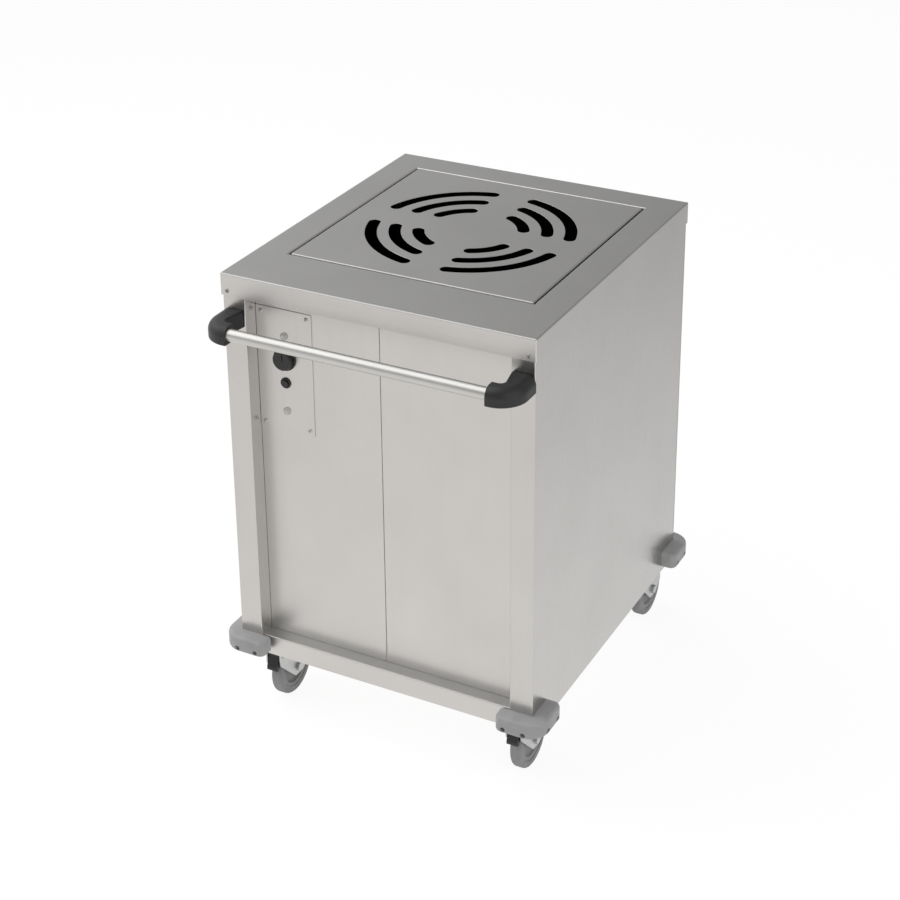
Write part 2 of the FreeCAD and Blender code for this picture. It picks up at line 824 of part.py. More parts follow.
def push_button():
    """Button with a domed face and a stem in the switch's guide."""
    z = deck_z - button_drop
    front = control_front - bezel_height - button_proud
    back = front + button_head
    head = turned("y", control_x, z, 0, [
        (back, 0, 0), (back, button_radius, 0), (front, button_radius, 1.5), (front, 0, 0)])
    return union(head, round_bar("y", control_x, z, back, back + button_stem_length, button_stem_radius))


def pilot_lamp(drop):
    """Round indicator: bezel ring, domed lens and barrel behind the plate."""
    z = deck_z - drop
    face = control_front - lamp_bezel_height
    lens = lamp_barrel_radius
    back = control_front + lamp_barrel_length
    return turned("y", control_x, z, 0, [
        (back, 0, 0), (back, lamp_barrel_radius, 1.0),
        (control_front, lamp_barrel_radius, 0), (control_front, lamp_bezel_radius, 0),
        (face, lamp_bezel_radius, 0.8), (face, lens, 0), (face - lamp_dome_height, lens, lens * 0.7),
        (face - lamp_dome_height, 0, 0)])


# Push handle

def bar_place():
    return front_y - handle_reach + bracket_leg_depth / 2, deck_z - bar_drop


def handle_bar():
    """Round tube between the two brackets."""
    y, z = bar_place()
    half = bracket_x - bracket_leg_length + bar_socket - 2
    tube = round_bar("x", y, z, -half, half, bar_radius)
    return tube.cut(round_bar("x", y, z, -half - sheet, half + sheet, bar_radius - bar_wall))


def handle_bracket():
    """Right moulded elbow: foot on the post, wide outer sweep with a crowned top, and a leg with the bar."""
    y, z = bar_place()
    tip = front_y - handle_reach
    inner = tip + bracket_leg_depth
    leg_x = bracket_x - bracket_leg_length
    arm_x = bracket_x - bracket_arm_width
    elbow = prism("z", [
        (bracket_x, front_y, 0), (bracket_x - bracket_root_width, front_y, 0),
        (arm_x, inner, bracket_inner_corner), (leg_x, inner, 0), (leg_x, tip, 0),
        (bracket_x, tip, bracket_corner)], z - bracket_height / 2, z + bracket_height / 2)
    elbow = rounded(elbow, bracket_crown, lambda b: b.ZMin > z and on_outer_sweep(b, tip))
    elbow = rounded(elbow, bracket_edge, lambda b: b.ZMax < z and on_outer_sweep(b, tip))
    elbow = rounded(elbow, bracket_edge, lambda b: b.ZLength < sheet and b.XMax < arm_x + sheet
                    and inner - sheet < b.YMin < front_y - sheet)
    socket = round_bar("x", y, z, leg_x - sheet, leg_x + bar_socket, bar_radius + bar_fit)
    return elbow.cut([socket] + handle_bolt_holes())


def on_outer_sweep(bounds, tip):
    """True for an edge of a bracket's outer side, round its corner and along its tip."""
    return bounds.XMin > bracket_x - sheet or (bounds.YMin < tip + sheet and bounds.XLength > sheet)


def handle_bolt_places():
    """Two bolts through each post into its bracket."""
    x = bracket_x - bracket_root_width / 2
    z = deck_z - bar_drop
    return [(sx * x, z + sz * bracket_height / 4) for sx in (-1, 1) for sz in (-1, 1)]


def handle_bolt_holes():
    return [round_bar("y", x, z, front_y - bolt_length, front_y + 2 * sheet, bolt_radius + running_clearance)
            for x, z in handle_bolt_places()]


def handle_bolts():
    """Bolts from inside the posts."""
    bolts = []
    for x, z in handle_bolt_places():
        face = front_y + sheet
        head = hexagon("y", x, z, face, face + bolt_head, bolt_head_radius)
        shank = round_bar("y", x, z, front_y - bolt_length + 1, face, bolt_radius)
        bolts.append(union(head, shank))
    return bolts


# Corner bumpers

def bumper(sx, sy):
    """Moulded corner buffer round the cabinet's lower corner, with screw pockets low in its faces."""
    low = base_z + bumper_rise
    high = low + bumper_height
    x, y = half_w, half_d
    out = bumper_thickness
    body = prism("z", [
        (x, y, 0), (x - bumper_leg, y, 0), (x - bumper_leg, y + out, bumper_end),
        (x + out, y + out, bumper_corner), (x + out, y - bumper_leg, bumper_end), (x, y - bumper_leg, 0)],
        low, high)
    body = rounded(body, bumper_edge, lambda b: b.ZLength < sheet and on_bumper_rim(b))
    pockets = []
    z = low + pocket_rise
    for along in pocket_places:
        pockets.append(round_bar("y", x - along, z, y + out - pocket_depth, y + out + sheet, pocket_radius))
        pockets.append(round_bar("x", y - along, z, x + out - pocket_depth, x + out + sheet, pocket_radius))
    piece = body.cut(pockets)
    if sx < 0:
        piece = mirrored(piece)
    if sy < 0:
        piece = piece.mirror(FreeCAD.Vector(0, 0, 0), FreeCAD.Vector(0, 1, 0))
    return piece


def on_bumper_rim(bounds):
    """True for the outer rim of a bumper, and not for the faces that lie on the cabinet."""
    return bounds.XMax > half_w + sheet or bounds.YMax > half_d + sheet


# Casters

def caster_place(corner):
    sx, sy = CORNERS[corner]
    return sx * (half_w - caster_inset_x), sy * (half_d - caster_inset_y)


def caster_bolt_places():
    places = []
    for corner in CORNERS:
        x, y = caster_place(corner)
        places += [(x + sx * caster_bolt_x / 2, y + sy * caster_bolt_y / 2)
                   for sx in (-1, 1) for sy in (-1, 1)]
    return places


def crown_top():
    return base_z - caster_plate_thickness - race_height


def caster_plates():
    """Top plates with their bearing races and kingpins."""
    pieces = []
    under = base_z - caster_plate_thickness
    holes = [round_bar("z", x, y, under - sheet, base_z + sheet, bolt_radius + hole_clearance)
             for x, y in caster_bolt_places()]
    crown = crown_top()
    crown_under = crown - crown_thickness
    for corner in CORNERS:
        x, y = caster_place(corner)
        hx, hy = caster_plate_x / 2, caster_plate_y / 2
        plate = prism("z", [
            (x - hx, y - hy, 6), (x + hx, y - hy, 6),
            (x + hx, y + hy, 6), (x - hx, y + hy, 6)], under, base_z)
        pin = turned("z", x, y, 0, [
            (under + 1, 0, 0), (under + 1, race_radius - 4, 0), (under, race_radius - 4, 0),
            (crown, race_radius, 2.0), (crown, kingpin_radius, 0), (crown_under, kingpin_radius, 0),
            (crown_under, kingpin_head_radius, 0), (crown_under - kingpin_head, kingpin_head_radius, 1.5),
            (crown_under - kingpin_head, 0, 0)])
        pieces.append(union(plate, pin).cut(holes))
    return pieces


def caster_bolts():
    """Bolts and nuts that hold the caster plates to the cabinet floor."""
    bolts = []
    under = base_z - caster_plate_thickness
    for x, y in caster_bolt_places():
        head = hexagon("z", x, y, under - bolt_head, under, bolt_head_radius)
        nut = hexagon("z", x, y, floor_top, floor_top + bolt_head, bolt_head_radius)
        shank = round_bar("z", x, y, under - 1, floor_top + bolt_head + sheet, bolt_radius)
        bolts.append(union(head, nut, shank))
    return bolts


def caster_fork(corner):
    """Pressed fork: crown under the race and two raked legs down to the axle."""
    x, y = caster_place(corner)
    crown = crown_top()
    outer = fork_gap + fork_sheet
    legs = []
    eye_y, eye_z = y + axle_y, axle_z
    edge = eye_y + eye_z - fork_rake * math.sqrt(2)
    toe_z = eye_z - fork_eye
    brow_y = y - fork_front
    outline = [
        (brow_y, crown, 3), (brow_y, edge - brow_y, 8), (edge - toe_z, toe_z, 8),
        (eye_y + fork_eye, toe_z, 14), (eye_y + fork_tail, eye_z, 14),
        (eye_y + fork_tail, eye_z + fork_shoulder, 20), (y + fork_back, crown, 6)]
    for low in (x - outer, x + fork_gap):
        legs.append(prism("x", outline, low, low + fork_sheet))
    top = box(x - outer, x + outer, y - fork_front + 3, y + fork_back - 3, crown - crown_thickness, crown)
    pin_hole = round_bar(
        "z", x, y, crown - 2 * crown_thickness, crown + 1, kingpin_radius + running_clearance)
    disc = round_bar("z", x, y, crown - crown_thickness, crown, race_radius)
    axle_hole = round_bar("x", eye_y, eye_z, x - 2 * outer, x + 2 * outer, axle_radius + running_clearance)
    cuts = [pin_hole, axle_hole]
    if corner.startswith("front"):
        pivot_y, pivot_z = pedal_pivot(y)
        pivot_radius = pedal_pin_radius + running_clearance
        cuts.append(round_bar("x", pivot_y, pivot_z, x - 2 * outer, x + 2 * outer, pivot_radius))
    return union(top, disc, *legs).cut(cuts)


def caster_axle(corner):
    """Axle bolt with a hexagon head and nut outside the fork legs."""
    x, y = caster_place(corner)
    outer = fork_gap + fork_sheet
    end = outer + axle_head / 2
    shank = round_bar("x", y + axle_y, axle_z, x - end, x + end, axle_radius)
    head = hexagon("x", y + axle_y, axle_z, x + outer, x + outer + axle_head, axle_head_radius)
    nut = hexagon("x", y + axle_y, axle_z, x - outer - axle_head, x - outer, axle_head_radius)
    return union(shank, head, nut)


def wheel_hub(corner):
    """Moulded wheel centre: boss, thin web and rim."""
    x, y = caster_place(corner)
    boss = fork_gap - hub_end_gap
    rim_out = wheel_radius - tread_depth
    rim_in = rim_out - rim_depth
    half_rim = rim_width / 2
    half_web = web_width / 2
    bore = axle_radius + running_clearance
    half = [(half_rim, rim_out, 0), (half_rim, rim_in, 2), (half_web, rim_in - 2, 2),
            (half_web, hub_radius + 2, 2), (boss, hub_radius, 1), (boss, bore, 0)]
    other = [(-s, r, c) for s, r, c in half[::-1]]
    return turned("x", y + axle_y, axle_z, x, half + other)


def wheel_tyre(corner):
    """Ring tread with rounded shoulders."""
    x, y = caster_place(corner)
    half = tread_width / 2
    inside = wheel_radius - tread_depth + running_clearance
    return turned("x", y + axle_y, axle_z, x, [
        (-half, inside, 1), (half, inside, 1), (half, wheel_radius, tread_shoulder),
        (-half, wheel_radius, tread_shoulder)])


def pedal_pivot(caster_y):
    return caster_y - pedal_pivot_forward, pedal_pivot_height


def brake_pedal(corner):
    """Foot pedal on a cross pin in the fork. Its shoe stands just off the tread and turns clear of it."""
    x, y = caster_place(corner)
    pivot_y, pivot_z = pedal_pivot(y)
    outer = fork_gap + fork_sheet
    tip_y = pivot_y - pedal_reach
    tip_z = pivot_z - pedal_drop
    half = fork_gap - hub_end_gap
    left = x - pedal_width / 2
    right = x + pedal_width / 2
    boss = round_bar("x", pivot_y, pivot_z, x - half, x + half, pedal_boss)
    pin = round_bar("x", pivot_y, pivot_z, x - outer, x + outer, pedal_pin_radius)
    pad = prism("x", [
        (pivot_y - pedal_boss, pivot_z, 0), (tip_y, tip_z + pedal_pad, 3), (tip_y, tip_z, 2),
        (tip_y + pedal_pad, tip_z, 2), (pivot_y + pedal_boss, pivot_z, 0)], left, right)
    away_y, away_z = y + axle_y - pivot_y, axle_z - pivot_z
    distance = math.hypot(away_y, away_z)
    u, v = away_y / distance, away_z / distance
    deep = distance - wheel_radius + pedal_shoe

    def off(along, across):
        return pivot_y + u * along - v * across, pivot_z + v * along + u * across, 0

    shoe = prism("x", [
        off(0, pedal_boss), off(0, -pedal_boss), off(deep, -pedal_shoe), off(deep, 0)], left, right)
    wheel = round_bar("x", y + axle_y, axle_z, x - 2 * outer, x + 2 * outer, wheel_radius + pedal_shoe_gap)
    return union(boss, pin, pad, shoe).cut(wheel)


# Screws in their places

def panel_screws():
    """Apron screws and rear panel screws."""
    face = half_d + deck_overhang
    screws = [screw("y", x, z, sy * face, -sy) for x, z, sy in deck_screw_places()]
    screws += [screw("y", x, z, back_y, -1) for x, z in rear_screw_places()]
    return screws


def control_plate_screws():
    return [screw("y", x, z, control_front, 1) for x, z in control_screw_places()]


def main():
    os.makedirs("parts", exist_ok=True)
    export("top_deck", top_deck())
    right_side = side_panel().cut(side_panel_holes())
    left_side = mirrored(side_panel()).cut(side_panel_holes())
    export("right_side_panel", right_side)
    export("left_side_panel", left_side)
    export("base_tray", base_tray())
    export("front_panel_left", front_panel_left())
    export("front_panel_right", front_panel_right())
    export("rear_panel", rear_panel())
    export("cable_gland", cable_gland())
    export("shaft_right_wall", shaft_side_wall())
    export("shaft_left_wall", mirrored(shaft_side_wall()))
    export("shaft_front_wall", shaft_end_wall(-1))
    export("shaft_rear_wall", shaft_end_wall(1))
    export("shaft_floor", shaft_floor())
    export("heater_element", heater_element())
    export("guide_rods", *guide_rods())
    export("right_spring_hanger", spring_hanger())
    export("left_spring_hanger", mirrored(spring_hanger()))
    export("lift_springs", *lift_springs())
    export("right_carriage", carriage())
    export("left_carriage", mirrored(carriage()))
    export("guide_bushes", *guide_bushes())
    export("platform_plate", platform_plate())
    export("control_plate", control_plate())
    export("thermostat_body", thermostat_body())
    export("thermostat_knob", thermostat_knob())
    export("switch_body", switch_body())
    export("push_button", push_button())
    export("pilot_lamp_upper", pilot_lamp(upper_lamp_drop))
    export("pilot_lamp_lower", pilot_lamp(lower_lamp_drop))
    export("handle_bar", handle_bar())
    export("right_handle_bracket", handle_bracket())
    export("left_handle_bracket", mirrored(handle_bracket()))
    export("handle_bolts", *handle_bolts())
    export("panel_screws", *panel_screws())
    export("control_plate_screws", *control_plate_screws())
    export("caster_plates", *caster_plates())
    export("caster_bolts", *caster_bolts())
    for corner, (sx, sy) in CORNERS.items():
        export(corner + "_bumper", bumper(sx, sy))
        export(corner + "_fork", caster_fork(corner))
        export(corner + "_axle", caster_axle(corner))
        export(corner + "_hub", wheel_hub(corner))
        export(corner + "_tyre", wheel_tyre(corner))
        if sy < 0:
            export(corner + "_brake_pedal", brake_pedal(corner))


main()
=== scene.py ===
"""Looks of a heated dish basket dispenser: brushed sheet, moulded plastic, casters, springs, stage."""
import json
import math

import bmesh
import bpy
from bpy.props import FloatProperty, FloatVectorProperty, IntProperty, PointerProperty
from mathutils import Matrix, Vector

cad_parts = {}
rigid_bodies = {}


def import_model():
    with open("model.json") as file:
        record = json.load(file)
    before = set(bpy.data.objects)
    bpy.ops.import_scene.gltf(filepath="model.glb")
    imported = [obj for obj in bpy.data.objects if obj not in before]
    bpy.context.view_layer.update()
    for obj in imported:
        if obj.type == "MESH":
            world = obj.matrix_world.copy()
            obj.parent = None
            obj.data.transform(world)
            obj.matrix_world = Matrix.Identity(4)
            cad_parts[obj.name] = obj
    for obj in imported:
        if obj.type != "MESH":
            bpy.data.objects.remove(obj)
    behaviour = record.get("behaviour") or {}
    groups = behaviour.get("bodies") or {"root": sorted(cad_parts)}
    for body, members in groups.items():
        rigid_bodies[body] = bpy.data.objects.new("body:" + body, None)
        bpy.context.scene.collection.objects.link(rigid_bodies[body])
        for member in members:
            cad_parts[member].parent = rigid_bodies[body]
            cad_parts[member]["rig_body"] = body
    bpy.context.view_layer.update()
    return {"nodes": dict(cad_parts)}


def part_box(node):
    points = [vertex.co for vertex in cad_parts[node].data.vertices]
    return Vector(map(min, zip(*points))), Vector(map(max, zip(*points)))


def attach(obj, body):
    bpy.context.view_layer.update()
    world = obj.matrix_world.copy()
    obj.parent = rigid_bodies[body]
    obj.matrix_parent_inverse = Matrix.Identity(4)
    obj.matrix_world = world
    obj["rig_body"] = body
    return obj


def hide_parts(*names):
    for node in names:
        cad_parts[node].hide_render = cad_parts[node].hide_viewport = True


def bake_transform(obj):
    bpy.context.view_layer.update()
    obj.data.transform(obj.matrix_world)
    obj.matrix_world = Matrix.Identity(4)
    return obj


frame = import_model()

bl_info = {
    "name": "Heated basket dispenser",
    "version": (1, 0, 0),
    "blender": (4, 5, 0),
    "location": "3D View > Sidebar > Dispenser",
    "description": "Finishes the pieces of a heated dish basket dispenser and sets up its studio",
    "category": "Object",
}

NODES = frame["nodes"]
CORNERS = ("front_left", "front_right", "rear_left", "rear_right")

# Meshes: lengths in metres, angles in radians
MERGE_DISTANCE = 2e-6
FLAT_ANGLE = math.radians(0.4)
SHARP_ANGLE = math.radians(32.0)
BEVEL_STEPS = 2

# Least upward share of a level face's normal, for the faces that take painted shade, and least share of
# the head radius at a screw's rim
LEVEL_NORMAL = 0.7
RIM_SHARE = 0.9

# Facets round the screws and the springs
DOME_SEGMENTS, DOME_RINGS = 28, 16
SHANK_SIDES = 16
WIRE_SIDES = 7
STUD_SIDES, DISC_SIDES = 12, 24

# Springs: straight ends and the coils' distance inside the node's box, in metres
SPRING_END = 0.022
SPRING_INSET = 0.013
# End discs: radius in coil radii and depth in wire radii
DISC_REACH, DISC_DEPTH = 1.08, 2.2

# Widths of broken edges by kind of piece, in metres
EDGES = {
    "handle_bar": 0.0003, "handle_bolts": 0.0004, "pilot_lamp": 0.0002, "lift_frame": 0.0005,
    "guide_rods": 0.0008, "guide_bushes": 0.0004, "bumper": 0.0006, "caster_plates": 0.0005,
    "caster_bolts": 0.0004, "fork": 0.0006, "axle": 0.0005, "hub": 0.0006, "brake_pedal": 0.0008}

# Strength of the brush lines' bump on the sheet and on the smoother sides, and its depth in metres
SHEET_RELIEF, SIDE_RELIEF = 0.05, 0.012
BRUSH_DEPTH = 0.00006
# Waves per metre along the brush lines, and the shares of the mean roughness that they vary between
BRUSH_WAVES = 4.0
BRUSH_SMOOTH, BRUSH_ROUGH = 0.87, 1.16
# Cells per metre of the finest metal mottle
FINE_SPANGLE = 900.0

# Room and floor as metal sees them: direction, span along it, and colours along the span
ROOM_DIRECTION = (1.5, -0.2, 1)
ROOM_SPAN = (-0.805, 0.195)
ROOM_STOPS = (
    (0.0, (0.92, 0.92, 0.91)), (0.3, (0.64, 0.64, 0.635)),
    (0.48, (0.43, 0.43, 0.43)), (0.7, (0.37, 0.37, 0.37)))
FLOOR_DIRECTION = (0.47, 0.88, 0)
FLOOR_SPAN = (-3.0, 3.0)
FLOOR_STOPS = (
    (0.0, (0.9, 0.876, 0.856)), (0.4, (0.96, 0.936, 0.917)),
    (0.6, (0.86, 0.855, 0.848)), (1.0, (0.51, 0.51, 0.51)))
FLOOR_REACH = 14.0
FLOOR_GLOW, FLOOR_GLOW_SHARE = 1.13, 0.8
WHITE = (1, 1, 1, 1)

# Lamps and camera
KEY_PLACE, KEY_SIZE = (-2.65, -0.9, 4.8), 6.5
FILL_PLACE, FILL_SIZE = (3.6, -1.2, 2.2), 5.0
LAMP_TARGET = (0, 0, 0.5)
SENSOR_WIDTH = 36.0
SHIFT_X, SHIFT_Y = 0.0082, -0.2297


# Settings

def colour(name, description, default):
    return FloatVectorProperty(
        name=name, description=description, default=default, subtype="COLOR", min=0, max=1)


def length(name, description, default):
    return FloatProperty(
        name=name, description=description, default=default, unit="LENGTH", subtype="DISTANCE")


def wattage(name, description, default):
    return FloatProperty(name=name, description=description, default=default, min=0, unit="POWER")


def tilt(name, description, degrees):
    return FloatProperty(
        name=name, description=description, default=math.radians(degrees), subtype="ANGLE")


def factor(name, description, default):
    return FloatProperty(
        name=name, description=description, default=default, min=0, max=1, subtype="FACTOR")


class SheetSettings(bpy.types.PropertyGroup):
    steel: colour("Steel", "Colour of the brushed sheet", (0.66, 0.65, 0.636))
    # Deck steel is a darker copy of the steel: painted shade for the upward faces of the deck and the
    # platform.
    deck: colour("Deck steel", "Colour of the deck and platform, dulled by use", (0.51, 0.506, 0.498))
    # Side steel is a darker copy of the steel: painted shade on the side panels.
    side: colour("Side steel", "Colour of the side panels and posts", (0.61, 0.601, 0.588))
    # Shaft steel is near-black painted shade, so that the shaft's inside shows dark through the slots and
    # gaps.
    shaft: colour("Shaft steel", "Colour of the heat-dulled shaft lining", (0.1, 0.094, 0.088))
    roughness: factor("Roughness", "Mean roughness of the brushed sheet", 0.38)
    side_roughness: factor("Side roughness", "Mean roughness of the smoother sides and posts", 0.26)
    edge: length("Edge", "Width of the broken sheet edges", 0.0004)
    grain: length("Grain", "Distance between brush lines", 0.0009)


class PlasticSettings(bpy.types.PropertyGroup):
    black: colour("Black", "Colour of the handle brackets and controls", (0.022, 0.0225, 0.0235))
    bumper: colour("Bumper", "Colour of the corner bumpers", (0.52, 0.522, 0.526))
    wheel: colour("Wheel", "Colour of the wheel centres", (0.4, 0.402, 0.406))
    tyre: colour("Tyre", "Colour of the treads", (0.41, 0.412, 0.416))
    lens: colour("Lens", "Colour of the pilot lamp lenses", (0.78, 0.765, 0.74))
    bush: colour("Bush", "Colour of the guide bushes", (0.72, 0.7, 0.65))
    edge: length("Edge", "Width of the rounded moulded edges", 0.0006)


class MetalSettings(bpy.types.PropertyGroup):
    tube: colour("Tube", "Colour of the push bar and guide rods", (0.64, 0.635, 0.62))
    zinc: colour("Zinc", "Colour of plated fittings", (0.58, 0.585, 0.59))
    screw: colour("Screw", "Colour of the deck and rear screws", (0.42, 0.413, 0.403))
    plate_screw: colour("Plate screw", "Colour of the control plate screws", (0.6, 0.591, 0.578))
    sheath: colour("Heater sheath", "Colour of the heating element", (0.1, 0.09, 0.082))


class ScrewSettings(bpy.types.PropertyGroup):
    head_radius: length("Head radius", "Radius of a dome head", 0.0046)
    head_height: length("Head height", "Height of a dome head", 0.0024)
    shank_radius: length("Shank radius", "Radius of the shank", 0.0024)
    shank_length: length("Shank length", "Length of the shank", 0.012)
    recess_length: length("Recess length", "Length of each bar of the cross recess", 0.005)
    recess_width: length("Recess width", "Width of each bar of the cross recess", 0.0011)
    recess_depth: length("Recess depth", "Depth of the cross recess", 0.0014)


class SpringSettings(bpy.types.PropertyGroup):
    coil_radius: length("Coil radius", "Radius at the middle of the wire", 0.0115)
    wire_radius: length("Wire radius", "Radius of the spring wire", 0.0014)
    turns: FloatProperty(name="Turns", description="Turns of each coil", default=58, min=1)
    steps: IntProperty(name="Steps", description="Points along one turn", default=14, min=6)


class StageSettings(bpy.types.PropertyGroup):
    floor: colour("Floor", "Colour of the floor", (0.86, 0.86, 0.86))
    key_power: wattage("Key", "Power of the large left lamp", 130)
    fill_power: wattage("Fill", "Power of the right lamp", 40)
    ambient: factor("Ambient", "Strength of the room light on matt surfaces", 0.7)
    lens: FloatProperty(
        name="Lens", description="Focal length of the camera", default=79.28, unit="CAMERA")
    camera_x: length("Camera X", "Camera place to the right", 1.6959)
    camera_y: length("Camera Y", "Camera place to the back", -3.2654)
    camera_z: length("Camera Z", "Camera place above the floor", 2.5441)
    azimuth: tilt("Azimuth", "Turn of the view", 27.92)
    elevation: tilt("Elevation", "Tilt of the view", 22.72)
    roll: tilt("Roll", "Lean of the view", -0.61)


# Node helpers

class Shader:
    """A principled material with short calls for its nodes."""

    def __init__(self, name):
        self.material = bpy.data.materials.new(name)
        self.material.use_nodes = True
        self.tree = self.material.node_tree
        self.surface = self.tree.nodes["Principled BSDF"]
        self.coordinates = self.add("ShaderNodeTexCoord").outputs["Object"]

    def add(self, kind, **values):
        node = self.tree.nodes.new(kind)
        for key, value in values.items():
            setattr(node, key, value)
        return node

    def join(self, source, target):
        self.tree.links.new(source, target)

    def fix(self, **values):
        for key, value in values.items():
            self.surface.inputs[key.replace("_", " ")].default_value = value

    def noise(self, scale, detail=2.0, roughness=0.5):
        """Noise over Object coordinates, scaled on each axis in waves per metre."""
        mapping = self.add("ShaderNodeMapping")
        mapping.inputs["Scale"].default_value = scale
        texture = self.add("ShaderNodeTexNoise")
        texture.inputs["Scale"].default_value = 1.0
        texture.inputs["Detail"].default_value = detail
        texture.inputs["Roughness"].default_value = roughness
        self.join(self.coordinates, mapping.inputs["Vector"])
        self.join(mapping.outputs["Vector"], texture.inputs["Vector"])
        return texture.outputs["Fac"]

    def spread(self, source, low, high, socket, start=0.3, stop=0.7):
        """Feeds a number input with noise, mapped from low to high."""
        span = self.add("ShaderNodeMapRange")
        span.inputs["From Min"].default_value = start
        span.inputs["From Max"].default_value = stop
        span.inputs["To Min"].default_value = low
        span.inputs["To Max"].default_value = high
        self.join(source, span.inputs["Value"])
        self.join(span.outputs["Result"], self.surface.inputs[socket])

    def tint(self, source, dark, light):
        """Feeds the base colour with noise, between two colours."""
        ramp = self.add("ShaderNodeValToRGB")
        ramp.color_ramp.elements[0].position = 0.3
        ramp.color_ramp.elements[1].position = 0.7
        ramp.color_ramp.elements[0].color = (*dark, 1)
        ramp.color_ramp.elements[1].color = (*light, 1)
        self.join(source, ramp.inputs["Fac"])
        self.join(ramp.outputs["Color"], self.surface.inputs["Base Color"])

    def bump(self, source, strength, distance):
        node = self.add("ShaderNodeBump")
        node.inputs["Strength"].default_value = strength
        node.inputs["Distance"].default_value = distance
        self.join(source, node.inputs["Height"])
        self.join(node.outputs["Normal"], self.surface.inputs["Normal"])


def seen_directly(tree, rays):
    """One for rays of the lens, of mirrors and of glass, and zero for rays that only carry light."""
    result = rays.outputs["Is Camera Ray"]
    for name in ("Is Glossy Ray", "Is Transmission Ray"):
        node = tree.nodes.new("ShaderNodeMath")
        node.operation = "MAXIMUM"
        tree.links.new(result, node.inputs[0])
        tree.links.new(rays.outputs[name], node.inputs[1])
        result = node.outputs[0]
    return result


def shade(tone, amount):
    return tuple(min(1.0, max(0.0, channel * amount)) for channel in tone)


def brushed_steel(name, tone, roughness, grain, along, relief=SHEET_RELIEF):
    """Sheet with fine brush lines along one axis, faint clouding and blurred reflections."""
    look = Shader(name)
    fine = 1.0 / grain
    scale = [BRUSH_WAVES if axis == along else fine for axis in "xyz"]
    lines = look.noise(scale, detail=3.0, roughness=0.65)
    clouds = look.noise([5.0, 5.0, 5.0], detail=3.0)
    look.tint(clouds, shade(tone, 0.965), shade(tone, 1.025))
    look.spread(lines, roughness * BRUSH_SMOOTH, roughness * BRUSH_ROUGH, "Roughness")
    look.bump(lines, relief, BRUSH_DEPTH)
    look.fix(Metallic=1.0)
    return look.material


def moulded_plastic(name, tone, roughness, grain=1400.0, depth=0.00008):
    """Injection moulding with a fine eroded grain and slight flow clouding."""
    look = Shader(name)
    texture = look.noise([grain] * 3, detail=2.0)
    flow = look.noise([18.0, 18.0, 30.0], detail=3.0)
    look.tint(flow, shade(tone, 0.9), shade(tone, 1.1))
    look.spread(texture, roughness - 0.06, roughness + 0.08, "Roughness")
    look.bump(texture, 0.3, depth)
    return look.material


def plated_metal(name, tone, roughness, spangle=260.0):
    """Plated or drawn metal with a faint crystalline mottle."""
    look = Shader(name)
    cells = look.add("ShaderNodeTexVoronoi")
    cells.inputs["Scale"].default_value = spangle
    look.join(look.coordinates, cells.inputs["Vector"])
    soft = look.noise([40.0] * 3, detail=3.0)
    look.tint(soft, shade(tone, 0.93), shade(tone, 1.05))
    look.spread(cells.outputs["Distance"], roughness - 0.05, roughness + 0.06, "Roughness", 0.0, 0.6)
    look.fix(Metallic=1.0)
    return look.material


def tread_rubber(name, tone):
    """Grey rubber with a dry, dusty bloom and a fine scuffed grain."""
    look = Shader(name)
    scuffs = look.noise([300.0, 120.0, 120.0], detail=4.0, roughness=0.6)
    bloom = look.noise([30.0] * 3, detail=3.0)
    look.tint(bloom, shade(tone, 0.86), shade(tone, 1.16))
    look.spread(scuffs, 0.56, 0.74, "Roughness")
    look.bump(scuffs, 0.35, 0.00012)
    return look.material


def lamp_lens(name, tone):
    """Pale glossy lens with a faint prismatic texture under a clear coat."""
    look = Shader(name)
    facets = look.noise([700.0, 50.0, 700.0], detail=1.0)
    look.tint(facets, shade(tone, 0.88), shade(tone, 1.06))
    look.spread(facets, 0.14, 0.24, "Roughness")
    look.fix(Coat_Weight=0.7, Coat_Roughness=0.05)
    return look.material


def heated_sheath(name, tone):
    """Heating element sheath, oxidised in bands."""
    look = Shader(name)
    bands = look.noise([14.0, 40.0, 40.0], detail=4.0)
    look.tint(bands, shade(tone, 0.7), (tone[0] * 1.5, tone[1] * 1.25, tone[2] * 1.1))
    look.spread(bands, 0.4, 0.62, "Roughness")
    look.fix(Metallic=1.0)
    return look.material


# Mesh helpers

def settled(piece):
    """Turns modifiers into a plain mesh and removes them."""
    bpy.context.view_layer.update()
    evaluated = piece.evaluated_get(bpy.context.evaluated_depsgraph_get())
    mesh = bpy.data.meshes.new_from_object(evaluated)
    piece.modifiers.clear()
    old = piece.data
    piece.data = mesh
    mesh.name = piece.name
    bpy.data.meshes.remove(old)
    return piece


def smoothed(piece):
    """Smooth shading with sharp edges kept crisp."""
    mesh = piece.data
    mesh.polygons.foreach_set("use_smooth", [True] * len(mesh.polygons))
    mesh.set_sharp_from_angle(angle=SHARP_ANGLE)
    mesh.update()
    return piece


def painted(piece, material):
    piece.data.materials.clear()
    piece.data.materials.append(material)
    return piece


